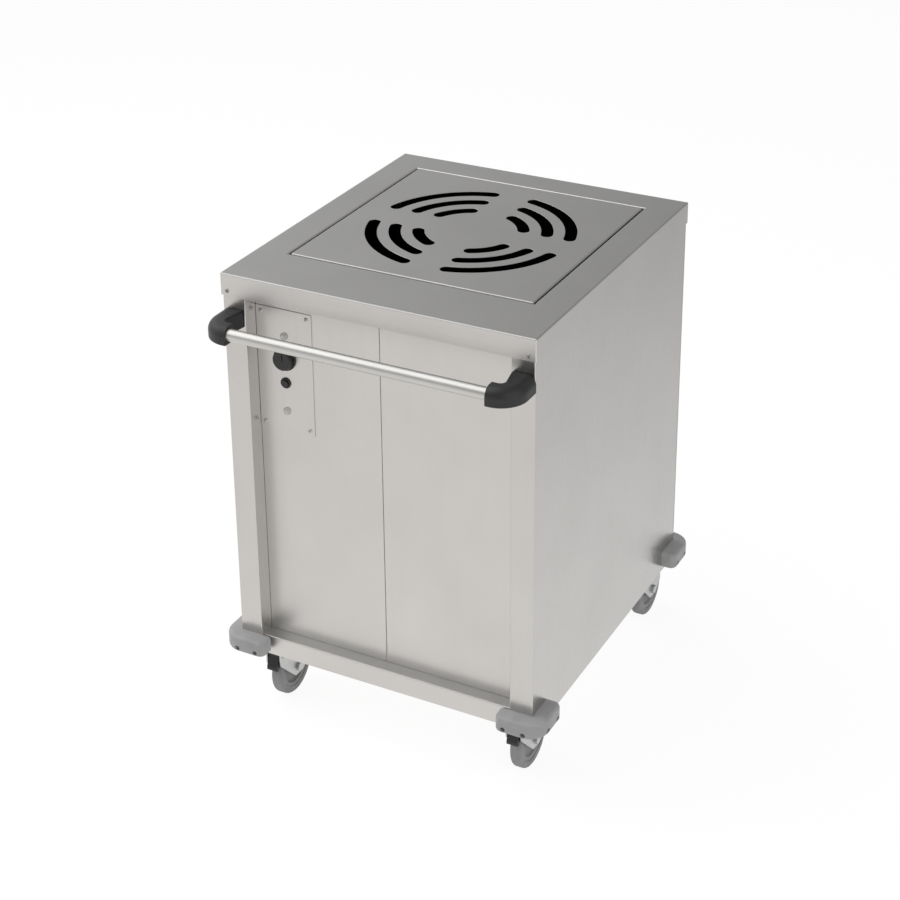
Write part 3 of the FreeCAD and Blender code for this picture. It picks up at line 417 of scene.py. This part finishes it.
def finished(node, material, edge=0.0):
    """Stands in for a CAD node: its faces merged, its edges broken and its curves shaded smooth."""
    source = NODES[node]
    mesh = bpy.data.meshes.new(node + "_finish")
    sheet = bmesh.new()
    sheet.from_mesh(source.data)
    bmesh.ops.remove_doubles(sheet, verts=sheet.verts, dist=MERGE_DISTANCE)
    bmesh.ops.dissolve_limit(sheet, angle_limit=FLAT_ANGLE, verts=sheet.verts, edges=sheet.edges)
    sheet.to_mesh(mesh)
    sheet.free()
    piece = bpy.data.objects.new(node + "_finish", mesh)
    bpy.context.scene.collection.objects.link(piece)
    smoothed(piece)
    if edge > 0:
        bevel = piece.modifiers.new("broken_edge", "BEVEL")
        bevel.width = edge
        bevel.segments = BEVEL_STEPS
        bevel.limit_method = "ANGLE"
        bevel.angle_limit = SHARP_ANGLE
        bevel.use_clamp_overlap = True
    even = piece.modifiers.new("even_shading", "WEIGHTED_NORMAL")
    even.mode = "FACE_AREA"
    even.keep_sharp = True
    settled(piece)
    painted(piece, material)
    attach(piece, source["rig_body"])
    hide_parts(node)
    return piece


def shaded_top(piece, material):
    """Gives a piece's level upper faces a second, darker material: painted shade on the upward faces."""
    piece.data.materials.append(material)
    for face in piece.data.polygons:
        if face.normal.z > LEVEL_NORMAL:
            face.material_index = 1


# Geometry node trees

class Tree:
    """A geometry node tree with named inputs, ending in real geometry and a material."""

    def __init__(self, name):
        self.group = bpy.data.node_groups.new(name, "GeometryNodeTree")
        self.sockets = {}
        self.group.interface.new_socket("Geometry", in_out="INPUT", socket_type="NodeSocketGeometry")
        self.group.interface.new_socket("Geometry", in_out="OUTPUT", socket_type="NodeSocketGeometry")
        self.inputs = self.add("NodeGroupInput")

    def add_input(self, name, kind="NodeSocketFloat"):
        socket = self.group.interface.new_socket(name, in_out="INPUT", socket_type=kind)
        self.sockets[name] = socket.identifier

    def add(self, kind, **values):
        node = self.group.nodes.new(kind)
        for key, value in values.items():
            setattr(node, key, value)
        return node

    def join(self, source, target):
        self.group.links.new(source, target)

    def value(self, name):
        return self.inputs.outputs[name]

    def scaled(self, source, amount):
        node = self.add("ShaderNodeMath", operation="MULTIPLY")
        node.inputs[1].default_value = amount
        self.join(source, node.inputs[0])
        return node.outputs[0]

    def triple(self, x=None, y=None, z=None):
        node = self.add("ShaderNodeCombineXYZ")
        for socket, source in zip(node.inputs, (x, y, z)):
            if source is not None:
                self.join(source, socket)
        return node.outputs[0]

    def block(self, x, y, z, place=None):
        node = self.add("GeometryNodeMeshCube")
        self.join(self.triple(x, y, z), node.inputs["Size"])
        return self.moved(node.outputs["Mesh"], place) if place is not None else node.outputs["Mesh"]

    def moved(self, geometry, place):
        node = self.add("GeometryNodeTransform")
        self.join(geometry, node.inputs["Geometry"])
        self.join(place, node.inputs["Translation"])
        return node.outputs["Geometry"]

    def together(self, *geometries):
        node = self.add("GeometryNodeJoinGeometry")
        for geometry in reversed(geometries):
            self.join(geometry, node.inputs["Geometry"])
        return node.outputs["Geometry"]

    def repeated(self, shape, rotation=None):
        """One shape on each point of the input, made real and given the input material."""
        place = self.add("GeometryNodeInstanceOnPoints")
        self.join(self.value("Geometry"), place.inputs["Points"])
        self.join(shape, place.inputs["Instance"])
        if rotation is not None:
            self.join(rotation, place.inputs["Rotation"])
        real = self.add("GeometryNodeRealizeInstances")
        paint = self.add("GeometryNodeSetMaterial")
        self.join(place.outputs["Instances"], real.inputs["Geometry"])
        self.join(real.outputs["Geometry"], paint.inputs["Geometry"])
        self.join(self.value("Material"), paint.inputs["Material"])
        self.join(paint.outputs["Geometry"], self.add("NodeGroupOutput").inputs["Geometry"])


def screw_tree():
    """Dome-headed screws with a cross recess, their heads seated on the points and turned by Facing."""
    tree = Tree("cross_head_screws")
    for name in ("Head Radius", "Head Height", "Shank Radius", "Shank Length",
                 "Recess Length", "Recess Width", "Recess Depth"):
        tree.add_input(name)
    tree.add_input("Facing", "NodeSocketVector")
    tree.add_input("Material", "NodeSocketMaterial")
    ball = tree.add("GeometryNodeMeshUVSphere")
    ball.inputs["Segments"].default_value = DOME_SEGMENTS
    ball.inputs["Rings"].default_value = DOME_RINGS
    ball.inputs["Radius"].default_value = 1.0
    dome = tree.add("GeometryNodeTransform")
    tree.join(ball.outputs["Mesh"], dome.inputs["Geometry"])
    radius, height = tree.value("Head Radius"), tree.value("Head Height")
    tree.join(tree.triple(radius, radius, height), dome.inputs["Scale"])
    wide = tree.scaled(radius, 3.0)
    deep = tree.scaled(height, 2.0)
    below = tree.block(wide, wide, deep, tree.triple(z=tree.scaled(height, -1.0)))
    pit = tree.scaled(tree.value("Recess Depth"), 2.0)
    top = tree.triple(z=height)
    bar = tree.block(tree.value("Recess Length"), tree.value("Recess Width"), pit, top)
    cross_bar = tree.block(tree.value("Recess Width"), tree.value("Recess Length"), pit, top)
    head = dome.outputs["Geometry"]
    for cutter in (below, bar, cross_bar):
        cut = tree.add("GeometryNodeMeshBoolean", operation="DIFFERENCE", solver="EXACT")
        tree.join(head, cut.inputs["Mesh 1"])
        tree.join(cutter, cut.inputs["Mesh 2"])
        head = cut.outputs["Mesh"]
    shank = tree.add("GeometryNodeMeshCylinder")
    shank.inputs["Vertices"].default_value = SHANK_SIDES
    tree.join(tree.value("Shank Radius"), shank.inputs["Radius"])
    tree.join(tree.value("Shank Length"), shank.inputs["Depth"])
    half_down = tree.scaled(tree.value("Shank Length"), -0.5)
    sunk = tree.moved(shank.outputs["Mesh"], tree.triple(z=half_down))
    turn = tree.add("FunctionNodeEulerToRotation")
    tree.join(tree.value("Facing"), turn.inputs["Euler"])
    tree.repeated(tree.together(head, sunk), turn.outputs["Rotation"])
    return tree


def coil_tree():
    """Coil springs that stand on their points, with a straight end above and below."""
    tree = Tree("lift_spring_coils")
    for name in ("Coil Radius", "Wire Radius", "Coil Height", "End Length", "Turns"):
        tree.add_input(name)
    tree.add_input("Steps", "NodeSocketInt")
    tree.add_input("Material", "NodeSocketMaterial")
    spiral = tree.add("GeometryNodeCurveSpiral")
    tree.join(tree.value("Steps"), spiral.inputs["Resolution"])
    tree.join(tree.value("Turns"), spiral.inputs["Rotations"])
    tree.join(tree.value("Coil Radius"), spiral.inputs["Start Radius"])
    tree.join(tree.value("Coil Radius"), spiral.inputs["End Radius"])
    tree.join(tree.value("Coil Height"), spiral.inputs["Height"])
    ring = tree.add("GeometryNodeCurvePrimitiveCircle")
    ring.inputs["Resolution"].default_value = WIRE_SIDES
    tree.join(tree.value("Wire Radius"), ring.inputs["Radius"])
    wire = tree.add("GeometryNodeCurveToMesh")
    wire.inputs["Fill Caps"].default_value = True
    tree.join(spiral.outputs["Curve"], wire.inputs["Curve"])
    tree.join(ring.outputs["Curve"], wire.inputs["Profile Curve"])
    ends = []
    for side in (0, 1):
        stud = tree.add("GeometryNodeMeshCylinder")
        stud.inputs["Vertices"].default_value = STUD_SIDES
        tree.join(tree.value("Wire Radius"), stud.inputs["Radius"])
        tree.join(tree.value("End Length"), stud.inputs["Depth"])
        disc = tree.add("GeometryNodeMeshCylinder")
        disc.inputs["Vertices"].default_value = DISC_SIDES
        tree.join(tree.scaled(tree.value("Coil Radius"), DISC_REACH), disc.inputs["Radius"])
        tree.join(tree.scaled(tree.value("Wire Radius"), DISC_DEPTH), disc.inputs["Depth"])
        away = tree.scaled(tree.value("End Length"), -0.5 if side == 0 else 0.5)
        if side:
            lift = tree.add("ShaderNodeMath", operation="ADD")
            tree.join(away, lift.inputs[0])
            tree.join(tree.value("Coil Height"), lift.inputs[1])
            away = lift.outputs[0]
            ends.append(tree.moved(disc.outputs["Mesh"], tree.triple(z=tree.value("Coil Height"))))
        else:
            ends.append(disc.outputs["Mesh"])
        ends.append(tree.moved(stud.outputs["Mesh"], tree.triple(z=away)))
    tree.repeated(tree.together(wire.outputs["Mesh"], *ends))
    return tree


def grown(name, points, tree, values):
    """A plain mesh from a tree run on points."""
    seed = bpy.data.meshes.new(name + "_points")
    seed.from_pydata(points, [], [])
    piece = bpy.data.objects.new(name, seed)
    bpy.context.scene.collection.objects.link(piece)
    modifier = piece.modifiers.new("grow", "NODES")
    modifier.node_group = tree.group
    for key, value in values.items():
        modifier[tree.sockets[key]] = value
    settled(piece)
    return painted(smoothed(piece), values["Material"])


def merged(name, pieces):
    """One mesh in place of several pieces."""
    mesh = bpy.data.meshes.new(name)
    sheet = bmesh.new()
    for piece in pieces:
        sheet.from_mesh(piece.data)
    sheet.to_mesh(mesh)
    sheet.free()
    material = pieces[0].data.materials[0]
    for piece in pieces:
        bpy.data.objects.remove(piece)
    whole = bpy.data.objects.new(name, mesh)
    bpy.context.scene.collection.objects.link(whole)
    return painted(smoothed(whole), material)


# Pieces

class DISPENSER_OT_sheet_metal(bpy.types.Operator):
    """Finish the cabinet's brushed sheet, the deck and the basket platform"""
    bl_idname = "dispenser.sheet_metal"
    bl_label = "Sheet metal"

    def execute(self, context):
        settings = context.scene.dispenser_sheet
        dull, grain = settings.roughness, settings.grain
        upright = brushed_steel("steel_upright_grain", settings.steel, dull, grain, "z")
        # The side panels take a darker copy of the steel as painted shade, with a smoother finish.
        sides = brushed_steel(
            "steel_side_shaded_grain", settings.side, settings.side_roughness, grain, "z", SIDE_RELIEF)
        across = brushed_steel("steel_cross_grain", settings.steel, dull, grain, "x")
        # Painted shade: the deck steel is the same brushed steel, darker, for the platform and the deck's
        # level tops.
        deck = brushed_steel("steel_deck_shaded_grain", settings.deck, dull, grain, "x")
        # The shaft lining takes near-black steel as painted shade.
        shaft = brushed_steel("steel_shaft_painted_shade", settings.shaft, dull, grain, "z")
        for node in ("front_panel_left", "front_panel_right", "rear_panel", "control_plate"):
            finished(node, upright, settings.edge)
        for node in ("left_side_panel", "right_side_panel"):
            finished(node, sides, settings.edge)
        finished("platform_plate", deck, settings.edge)
        finished("base_tray", across, settings.edge)
        shaded_top(finished("top_deck", across, settings.edge), deck)
        for part in ("front_wall", "rear_wall", "left_wall", "right_wall", "floor"):
            finished("shaft_" + part, shaft, settings.edge)
        return {"FINISHED"}


class DISPENSER_OT_push_handle(bpy.types.Operator):
    """Finish the push bar, its moulded brackets and their bolts"""
    bl_idname = "dispenser.push_handle"
    bl_label = "Push handle"

    def execute(self, context):
        metal = context.scene.dispenser_metal
        plastic = context.scene.dispenser_plastic
        sheet = context.scene.dispenser_sheet
        tube = brushed_steel("steel_push_bar", metal.tube, sheet.roughness, sheet.grain, "x")
        black = moulded_plastic("plastic_bracket_black", plastic.black, roughness=0.44)
        zinc = plated_metal("zinc_handle_bolts", metal.zinc, roughness=0.32)
        finished("handle_bar", tube, EDGES["handle_bar"])
        for side in ("left", "right"):
            finished(side + "_handle_bracket", black)
        finished("handle_bolts", zinc, EDGES["handle_bolts"])
        return {"FINISHED"}


class DISPENSER_OT_controls(bpy.types.Operator):
    """Finish the thermostat, the push switch and the pilot lamps"""
    bl_idname = "dispenser.controls"
    bl_label = "Controls"

    def execute(self, context):
        plastic = context.scene.dispenser_plastic
        black = moulded_plastic(
            "plastic_control_black", plastic.black, roughness=0.38, grain=2200.0, depth=0.00004)
        lens = lamp_lens("plastic_lamp_lens", plastic.lens)
        for node in ("thermostat_knob", "thermostat_body", "switch_body", "push_button", "cable_gland"):
            finished(node, black, plastic.edge)
        for node in ("pilot_lamp_upper", "pilot_lamp_lower"):
            finished(node, lens, EDGES["pilot_lamp"])
        return {"FINISHED"}


class DISPENSER_OT_screws(bpy.types.Operator):
    """Set cross-recessed screws in the apron, the rear panel and the control plate"""
    bl_idname = "dispenser.screws"
    bl_label = "Screws"

    def execute(self, context):
        sizes = context.scene.dispenser_screws
        metal = context.scene.dispenser_metal
        tree = screw_tree()
        values = {
            "Head Radius": sizes.head_radius, "Head Height": sizes.head_height,
            "Shank Radius": sizes.shank_radius, "Shank Length": sizes.shank_length,
            "Recess Length": sizes.recess_length, "Recess Width": sizes.recess_width,
            "Recess Depth": sizes.recess_depth}
        for node, tone in (("panel_screws", metal.screw), ("control_plate_screws", metal.plate_screw)):
            values["Material"] = plated_metal("steel_" + node, tone, roughness=0.36, spangle=FINE_SPANGLE)
            groups = []
            for facing, turn in ((-1, math.pi / 2), (1, -math.pi / 2)):
                places = screw_places(node, facing, sizes.head_radius)
                if places:
                    values["Facing"] = (turn, 0.0, 0.0)
                    groups.append(grown(node + "_row", places, tree, values))
            piece = merged(node + "_crossed", groups)
            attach(piece, "cabinet")
            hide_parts(node)
        return {"FINISHED"}


def screw_places(node, facing, head_radius):
    """Seats of a node's screws that face front (-1) or back (+1), read from its separate solids."""
    sheet = bmesh.new()
    sheet.from_mesh(NODES[node].data)
    bmesh.ops.remove_doubles(sheet, verts=sheet.verts, dist=MERGE_DISTANCE)
    places = []
    todo = set(sheet.verts)
    while todo:
        island = [todo.pop()]
        for vert in island:
            for edge in vert.link_edges:
                other = edge.other_vert(vert)
                if other in todo:
                    todo.remove(other)
                    island.append(other)
        low = [min(v.co[i] for v in island) for i in range(3)]
        high = [max(v.co[i] for v in island) for i in range(3)]
        middle = [(a + b) / 2 for a, b in zip(low, high)]
        rim = [v for v in island
               if math.hypot(v.co.x - middle[0], v.co.z - middle[2]) > head_radius * RIM_SHARE]
        wide = [v.co.y for v in rim]
        seat = max(wide) if facing < 0 else min(wide)
        head_side = -1 if abs(seat - low[1]) < abs(seat - high[1]) else 1
        if head_side == facing:
            places.append((middle[0], seat, middle[2]))
    sheet.free()
    return sorted(places)


class DISPENSER_OT_lift(bpy.types.Operator):
    """Finish the carriages, guide rods and bushes, and wind the lift springs"""
    bl_idname = "dispenser.lift"
    bl_label = "Lift"

    def execute(self, context):
        metal = context.scene.dispenser_metal
        plastic = context.scene.dispenser_plastic
        sizes = context.scene.dispenser_springs
        zinc = plated_metal("zinc_lift_frame", metal.zinc, roughness=0.36)
        rods = plated_metal("steel_guide_rods", metal.tube, roughness=0.16, spangle=FINE_SPANGLE)
        wire = plated_metal(
            "steel_spring_wire", shade(metal.zinc, 0.8), roughness=0.3, spangle=FINE_SPANGLE)
        bush = moulded_plastic("plastic_guide_bush", plastic.bush, roughness=0.4)
        for node in ("left_carriage", "right_carriage", "left_spring_hanger", "right_spring_hanger"):
            finished(node, zinc, EDGES["lift_frame"])
        finished("guide_rods", rods, EDGES["guide_rods"])
        finished("guide_bushes", bush, EDGES["guide_bushes"])
        self.wind_springs(sizes, wire)
        return {"FINISHED"}

    def wind_springs(self, sizes, wire):
        """Coils between the hangers and the carriage feet."""
        low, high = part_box("lift_springs")
        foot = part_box("right_carriage")[0].z
        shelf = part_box("right_spring_hanger")[0].z
        end = SPRING_END
        bottom = foot + end
        tall = shelf - end - bottom
        reach = (high.x - low.x) / 2 - SPRING_INSET
        middle_y = (low.y + high.y) / 2
        spread = (high.y - low.y) / 2 - SPRING_INSET
        places = [(sx * reach, middle_y + sy * spread, bottom) for sx in (-1, 1) for sy in (-1, 1)]
        coils = grown("lift_spring_coils", places, coil_tree(), {
            "Coil Radius": sizes.coil_radius, "Wire Radius": sizes.wire_radius, "Coil Height": tall,
            "End Length": end, "Turns": sizes.turns, "Steps": sizes.steps, "Material": wire})
        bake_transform(coils)
        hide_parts("lift_springs")


class DISPENSER_OT_heater(bpy.types.Operator):
    """Finish the heating element in the shaft"""
    bl_idname = "dispenser.heater"
    bl_label = "Heater"

    def execute(self, context):
        sheath = heated_sheath("steel_heater_sheath", context.scene.dispenser_metal.sheath)
        finished("heater_element", sheath)
        return {"FINISHED"}


class DISPENSER_OT_bumpers(bpy.types.Operator):
    """Finish the four corner bumpers"""
    bl_idname = "dispenser.bumpers"
    bl_label = "Bumpers"

    def execute(self, context):
        plastic = context.scene.dispenser_plastic
        grey = moulded_plastic("plastic_bumper_grey", plastic.bumper, roughness=0.46)
        for corner in CORNERS:
            finished(corner + "_bumper", grey, EDGES["bumper"])
        return {"FINISHED"}


class DISPENSER_OT_casters(bpy.types.Operator):
    """Finish the casters: plates, forks, axles, wheels and brake pedals"""
    bl_idname = "dispenser.casters"
    bl_label = "Casters"

    def execute(self, context):
        metal = context.scene.dispenser_metal
        plastic = context.scene.dispenser_plastic
        zinc = plated_metal("zinc_caster", metal.zinc, roughness=0.34)
        wheel = moulded_plastic("plastic_wheel_grey", plastic.wheel, roughness=0.5)
        rubber = tread_rubber("rubber_tread", plastic.tyre)
        black = moulded_plastic("plastic_pedal_black", shade(plastic.black, 1.3), roughness=0.46)
        finished("caster_plates", zinc, EDGES["caster_plates"])
        finished("caster_bolts", zinc, EDGES["caster_bolts"])
        for corner in CORNERS:
            finished(corner + "_fork", zinc, EDGES["fork"])
            finished(corner + "_axle", zinc, EDGES["axle"])
            finished(corner + "_hub", wheel, EDGES["hub"])
            finished(corner + "_tyre", rubber)
            if corner.startswith("front"):
                finished(corner + "_brake_pedal", black, EDGES["brake_pedal"])
        return {"FINISHED"}


class DISPENSER_OT_stage(bpy.types.Operator):
    """Set up the floor, the studio light and the camera"""
    bl_idname = "dispenser.stage"
    bl_label = "Stage"

    def execute(self, context):
        stage = context.scene.dispenser_stage
        self.light_room(context, stage)
        self.lay_floor(context, stage)
        self.hang_lamp(context, "key_lamp", KEY_PLACE, KEY_SIZE, stage.key_power)
        self.hang_lamp(context, "fill_lamp", FILL_PLACE, FILL_SIZE, stage.fill_power)
        self.set_camera(context, stage)
        context.scene.view_settings.view_transform = "Standard"
        return {"FINISHED"}

    def light_room(self, context, stage):
        """Room light that darkens upwards and to the right, and plain white to the lens."""
        world = bpy.data.worlds.new("studio_room")
        world.use_nodes = True
        context.scene.world = world
        tree = world.node_tree
        background = tree.nodes["Background"]
        place = tree.nodes.new("ShaderNodeTexCoord")
        height = tree.nodes.new("ShaderNodeVectorMath")
        height.operation = "DOT_PRODUCT"
        height.inputs[1].default_value = ROOM_DIRECTION
        tree.links.new(place.outputs["Generated"], height.inputs[0])
        span = tree.nodes.new("ShaderNodeMapRange")
        span.inputs["From Min"].default_value = ROOM_SPAN[0]
        span.inputs["From Max"].default_value = ROOM_SPAN[1]
        tree.links.new(height.outputs["Value"], span.inputs["Value"])
        ramp = tree.nodes.new("ShaderNodeValToRGB")
        self.set_stops(ramp, ROOM_STOPS)
        tree.links.new(span.outputs["Result"], ramp.inputs["Fac"])
        rays = tree.nodes.new("ShaderNodeLightPath")
        tone = tree.nodes.new("ShaderNodeMix")
        tone.data_type = "RGBA"
        tone.inputs["B"].default_value = WHITE
        tree.links.new(rays.outputs["Is Camera Ray"], tone.inputs["Factor"])
        tree.links.new(ramp.outputs["Color"], tone.inputs["A"])
        tree.links.new(tone.outputs["Result"], background.inputs["Color"])
        level = tree.nodes.new("ShaderNodeMapRange")
        level.inputs["To Min"].default_value = stage.ambient
        level.inputs["To Max"].default_value = 1.0
        tree.links.new(seen_directly(tree, rays), level.inputs["Value"])
        tree.links.new(level.outputs["Result"], background.inputs["Strength"])

    def lay_floor(self, context, stage):
        """Wide pale floor: white to the lens but for a soft shadow, and to metal dimmer far behind."""
        mesh = bpy.data.meshes.new("studio_floor")
        signs = ((-1, -1), (1, -1), (1, 1), (-1, 1))
        corners = [(sx * FLOOR_REACH, sy * FLOOR_REACH, 0) for sx, sy in signs]
        mesh.from_pydata(corners, [], [(0, 1, 2, 3)])
        floor = bpy.data.objects.new("studio_floor", mesh)
        context.scene.collection.objects.link(floor)
        look = Shader("floor_pale")
        look.fix(Base_Color=(*stage.floor, 1), Roughness=0.9, Specular_IOR_Level=0.0)
        rays = look.add("ShaderNodeLightPath")
        behind = look.add("ShaderNodeVectorMath", operation="DOT_PRODUCT")
        behind.inputs[1].default_value = FLOOR_DIRECTION
        look.join(look.coordinates, behind.inputs[0])
        span = look.add("ShaderNodeMapRange")
        span.inputs["From Min"].default_value = FLOOR_SPAN[0]
        span.inputs["From Max"].default_value = FLOOR_SPAN[1]
        look.join(behind.outputs["Value"], span.inputs["Value"])
        ramp = look.add("ShaderNodeValToRGB")
        self.set_stops(ramp, FLOOR_STOPS)
        look.join(span.outputs["Result"], ramp.inputs["Fac"])
        level = look.add("ShaderNodeMix", data_type="RGBA")
        level.inputs["B"].default_value = WHITE
        look.join(rays.outputs["Is Camera Ray"], level.inputs["Factor"])
        look.join(ramp.outputs["Color"], level.inputs["A"])
        glow = look.add("ShaderNodeEmission")
        glow.inputs["Strength"].default_value = FLOOR_GLOW
        look.join(level.outputs["Result"], glow.inputs["Color"])
        share = look.add("ShaderNodeMath", operation="MULTIPLY")
        share.inputs[1].default_value = FLOOR_GLOW_SHARE
        look.join(seen_directly(look.tree, rays), share.inputs[0])
        blend = look.add("ShaderNodeMixShader")
        look.join(share.outputs[0], blend.inputs["Fac"])
        look.join(look.surface.outputs["BSDF"], blend.inputs[1])
        look.join(glow.outputs["Emission"], blend.inputs[2])
        look.join(blend.outputs["Shader"], look.tree.nodes["Material Output"].inputs["Surface"])
        painted(floor, look.material)

    def set_stops(self, ramp, stops):
        """Colours along a ramp, as pairs of place and colour."""
        elements = ramp.color_ramp.elements
        elements.remove(elements[1])
        elements[0].position = stops[0][0]
        elements[0].color = (*stops[0][1], 1)
        for position, tone in stops[1:]:
            elements.new(position).color = (*tone, 1)

    def hang_lamp(self, context, name, place, size, power):
        lamp = bpy.data.lights.new(name, "AREA")
        lamp.shape = "DISK"
        lamp.size = size
        lamp.energy = power
        holder = bpy.data.objects.new(name, lamp)
        context.scene.collection.objects.link(holder)
        holder.location = place
        aim = Vector(LAMP_TARGET) - Vector(place)
        holder.rotation_euler = aim.to_track_quat("-Z", "Y").to_euler()

    def set_camera(self, context, stage):
        """Camera at the photograph's place, with its framing shift."""
        camera = bpy.data.cameras.new("photo_camera")
        camera.sensor_width = SENSOR_WIDTH
        camera.sensor_fit = "HORIZONTAL"
        camera.lens = stage.lens
        camera.shift_x = SHIFT_X
        camera.shift_y = SHIFT_Y
        holder = bpy.data.objects.new("photo_camera", camera)
        context.scene.collection.objects.link(holder)
        a, e, r = stage.azimuth, stage.elevation, stage.roll
        back = Vector((math.sin(a) * math.cos(e), -math.cos(a) * math.cos(e), math.sin(e)))
        level = Vector((math.cos(a), math.sin(a), 0))
        right = math.cos(r) * level + math.sin(r) * back.cross(level)
        up = back.cross(right)
        place = Vector((stage.camera_x, stage.camera_y, stage.camera_z))
        holder.matrix_world = Matrix((
            (right.x, up.x, back.x, place.x), (right.y, up.y, back.y, place.y),
            (right.z, up.z, back.z, place.z), (0, 0, 0, 1)))
        context.scene.camera = holder


class DISPENSER_PT_pieces(bpy.types.Panel):
    """Lists the pieces and their settings"""
    bl_idname = "DISPENSER_PT_pieces"
    bl_label = "Basket dispenser"
    bl_space_type = "VIEW_3D"
    bl_region_type = "UI"
    bl_category = "Dispenser"

    def draw(self, context):
        for operator in OPERATORS:
            self.layout.operator(operator.bl_idname)
        for name in SETTINGS:
            group = getattr(context.scene, name)
            box = self.layout.box()
            for key in group.__annotations__:
                box.prop(group, key)


OPERATORS = (
    DISPENSER_OT_sheet_metal, DISPENSER_OT_push_handle, DISPENSER_OT_controls, DISPENSER_OT_screws,
    DISPENSER_OT_lift, DISPENSER_OT_heater, DISPENSER_OT_bumpers, DISPENSER_OT_casters,
    DISPENSER_OT_stage)
SETTINGS = {
    "dispenser_sheet": SheetSettings, "dispenser_plastic": PlasticSettings,
    "dispenser_metal": MetalSettings, "dispenser_screws": ScrewSettings,
    "dispenser_springs": SpringSettings, "dispenser_stage": StageSettings}


def register():
    for group in SETTINGS.values():
        bpy.utils.register_class(group)
    for operator in OPERATORS:
        bpy.utils.register_class(operator)
    bpy.utils.register_class(DISPENSER_PT_pieces)
    for name, group in SETTINGS.items():
        setattr(bpy.types.Scene, name, PointerProperty(type=group))


def unregister():
    for name in SETTINGS:
        delattr(bpy.types.Scene, name)
    bpy.utils.unregister_class(DISPENSER_PT_pieces)
    for operator in reversed(OPERATORS):
        bpy.utils.unregister_class(operator)
    for group in reversed(list(SETTINGS.values())):
        bpy.utils.unregister_class(group)


def main():
    register()
    bpy.ops.dispenser.sheet_metal()
    bpy.ops.dispenser.push_handle()
    bpy.ops.dispenser.controls()
    bpy.ops.dispenser.screws()
    bpy.ops.dispenser.lift()
    bpy.ops.dispenser.heater()
    bpy.ops.dispenser.bumpers()
    bpy.ops.dispenser.casters()
    bpy.ops.dispenser.stage()


if __name__ == "__main__":
    main()
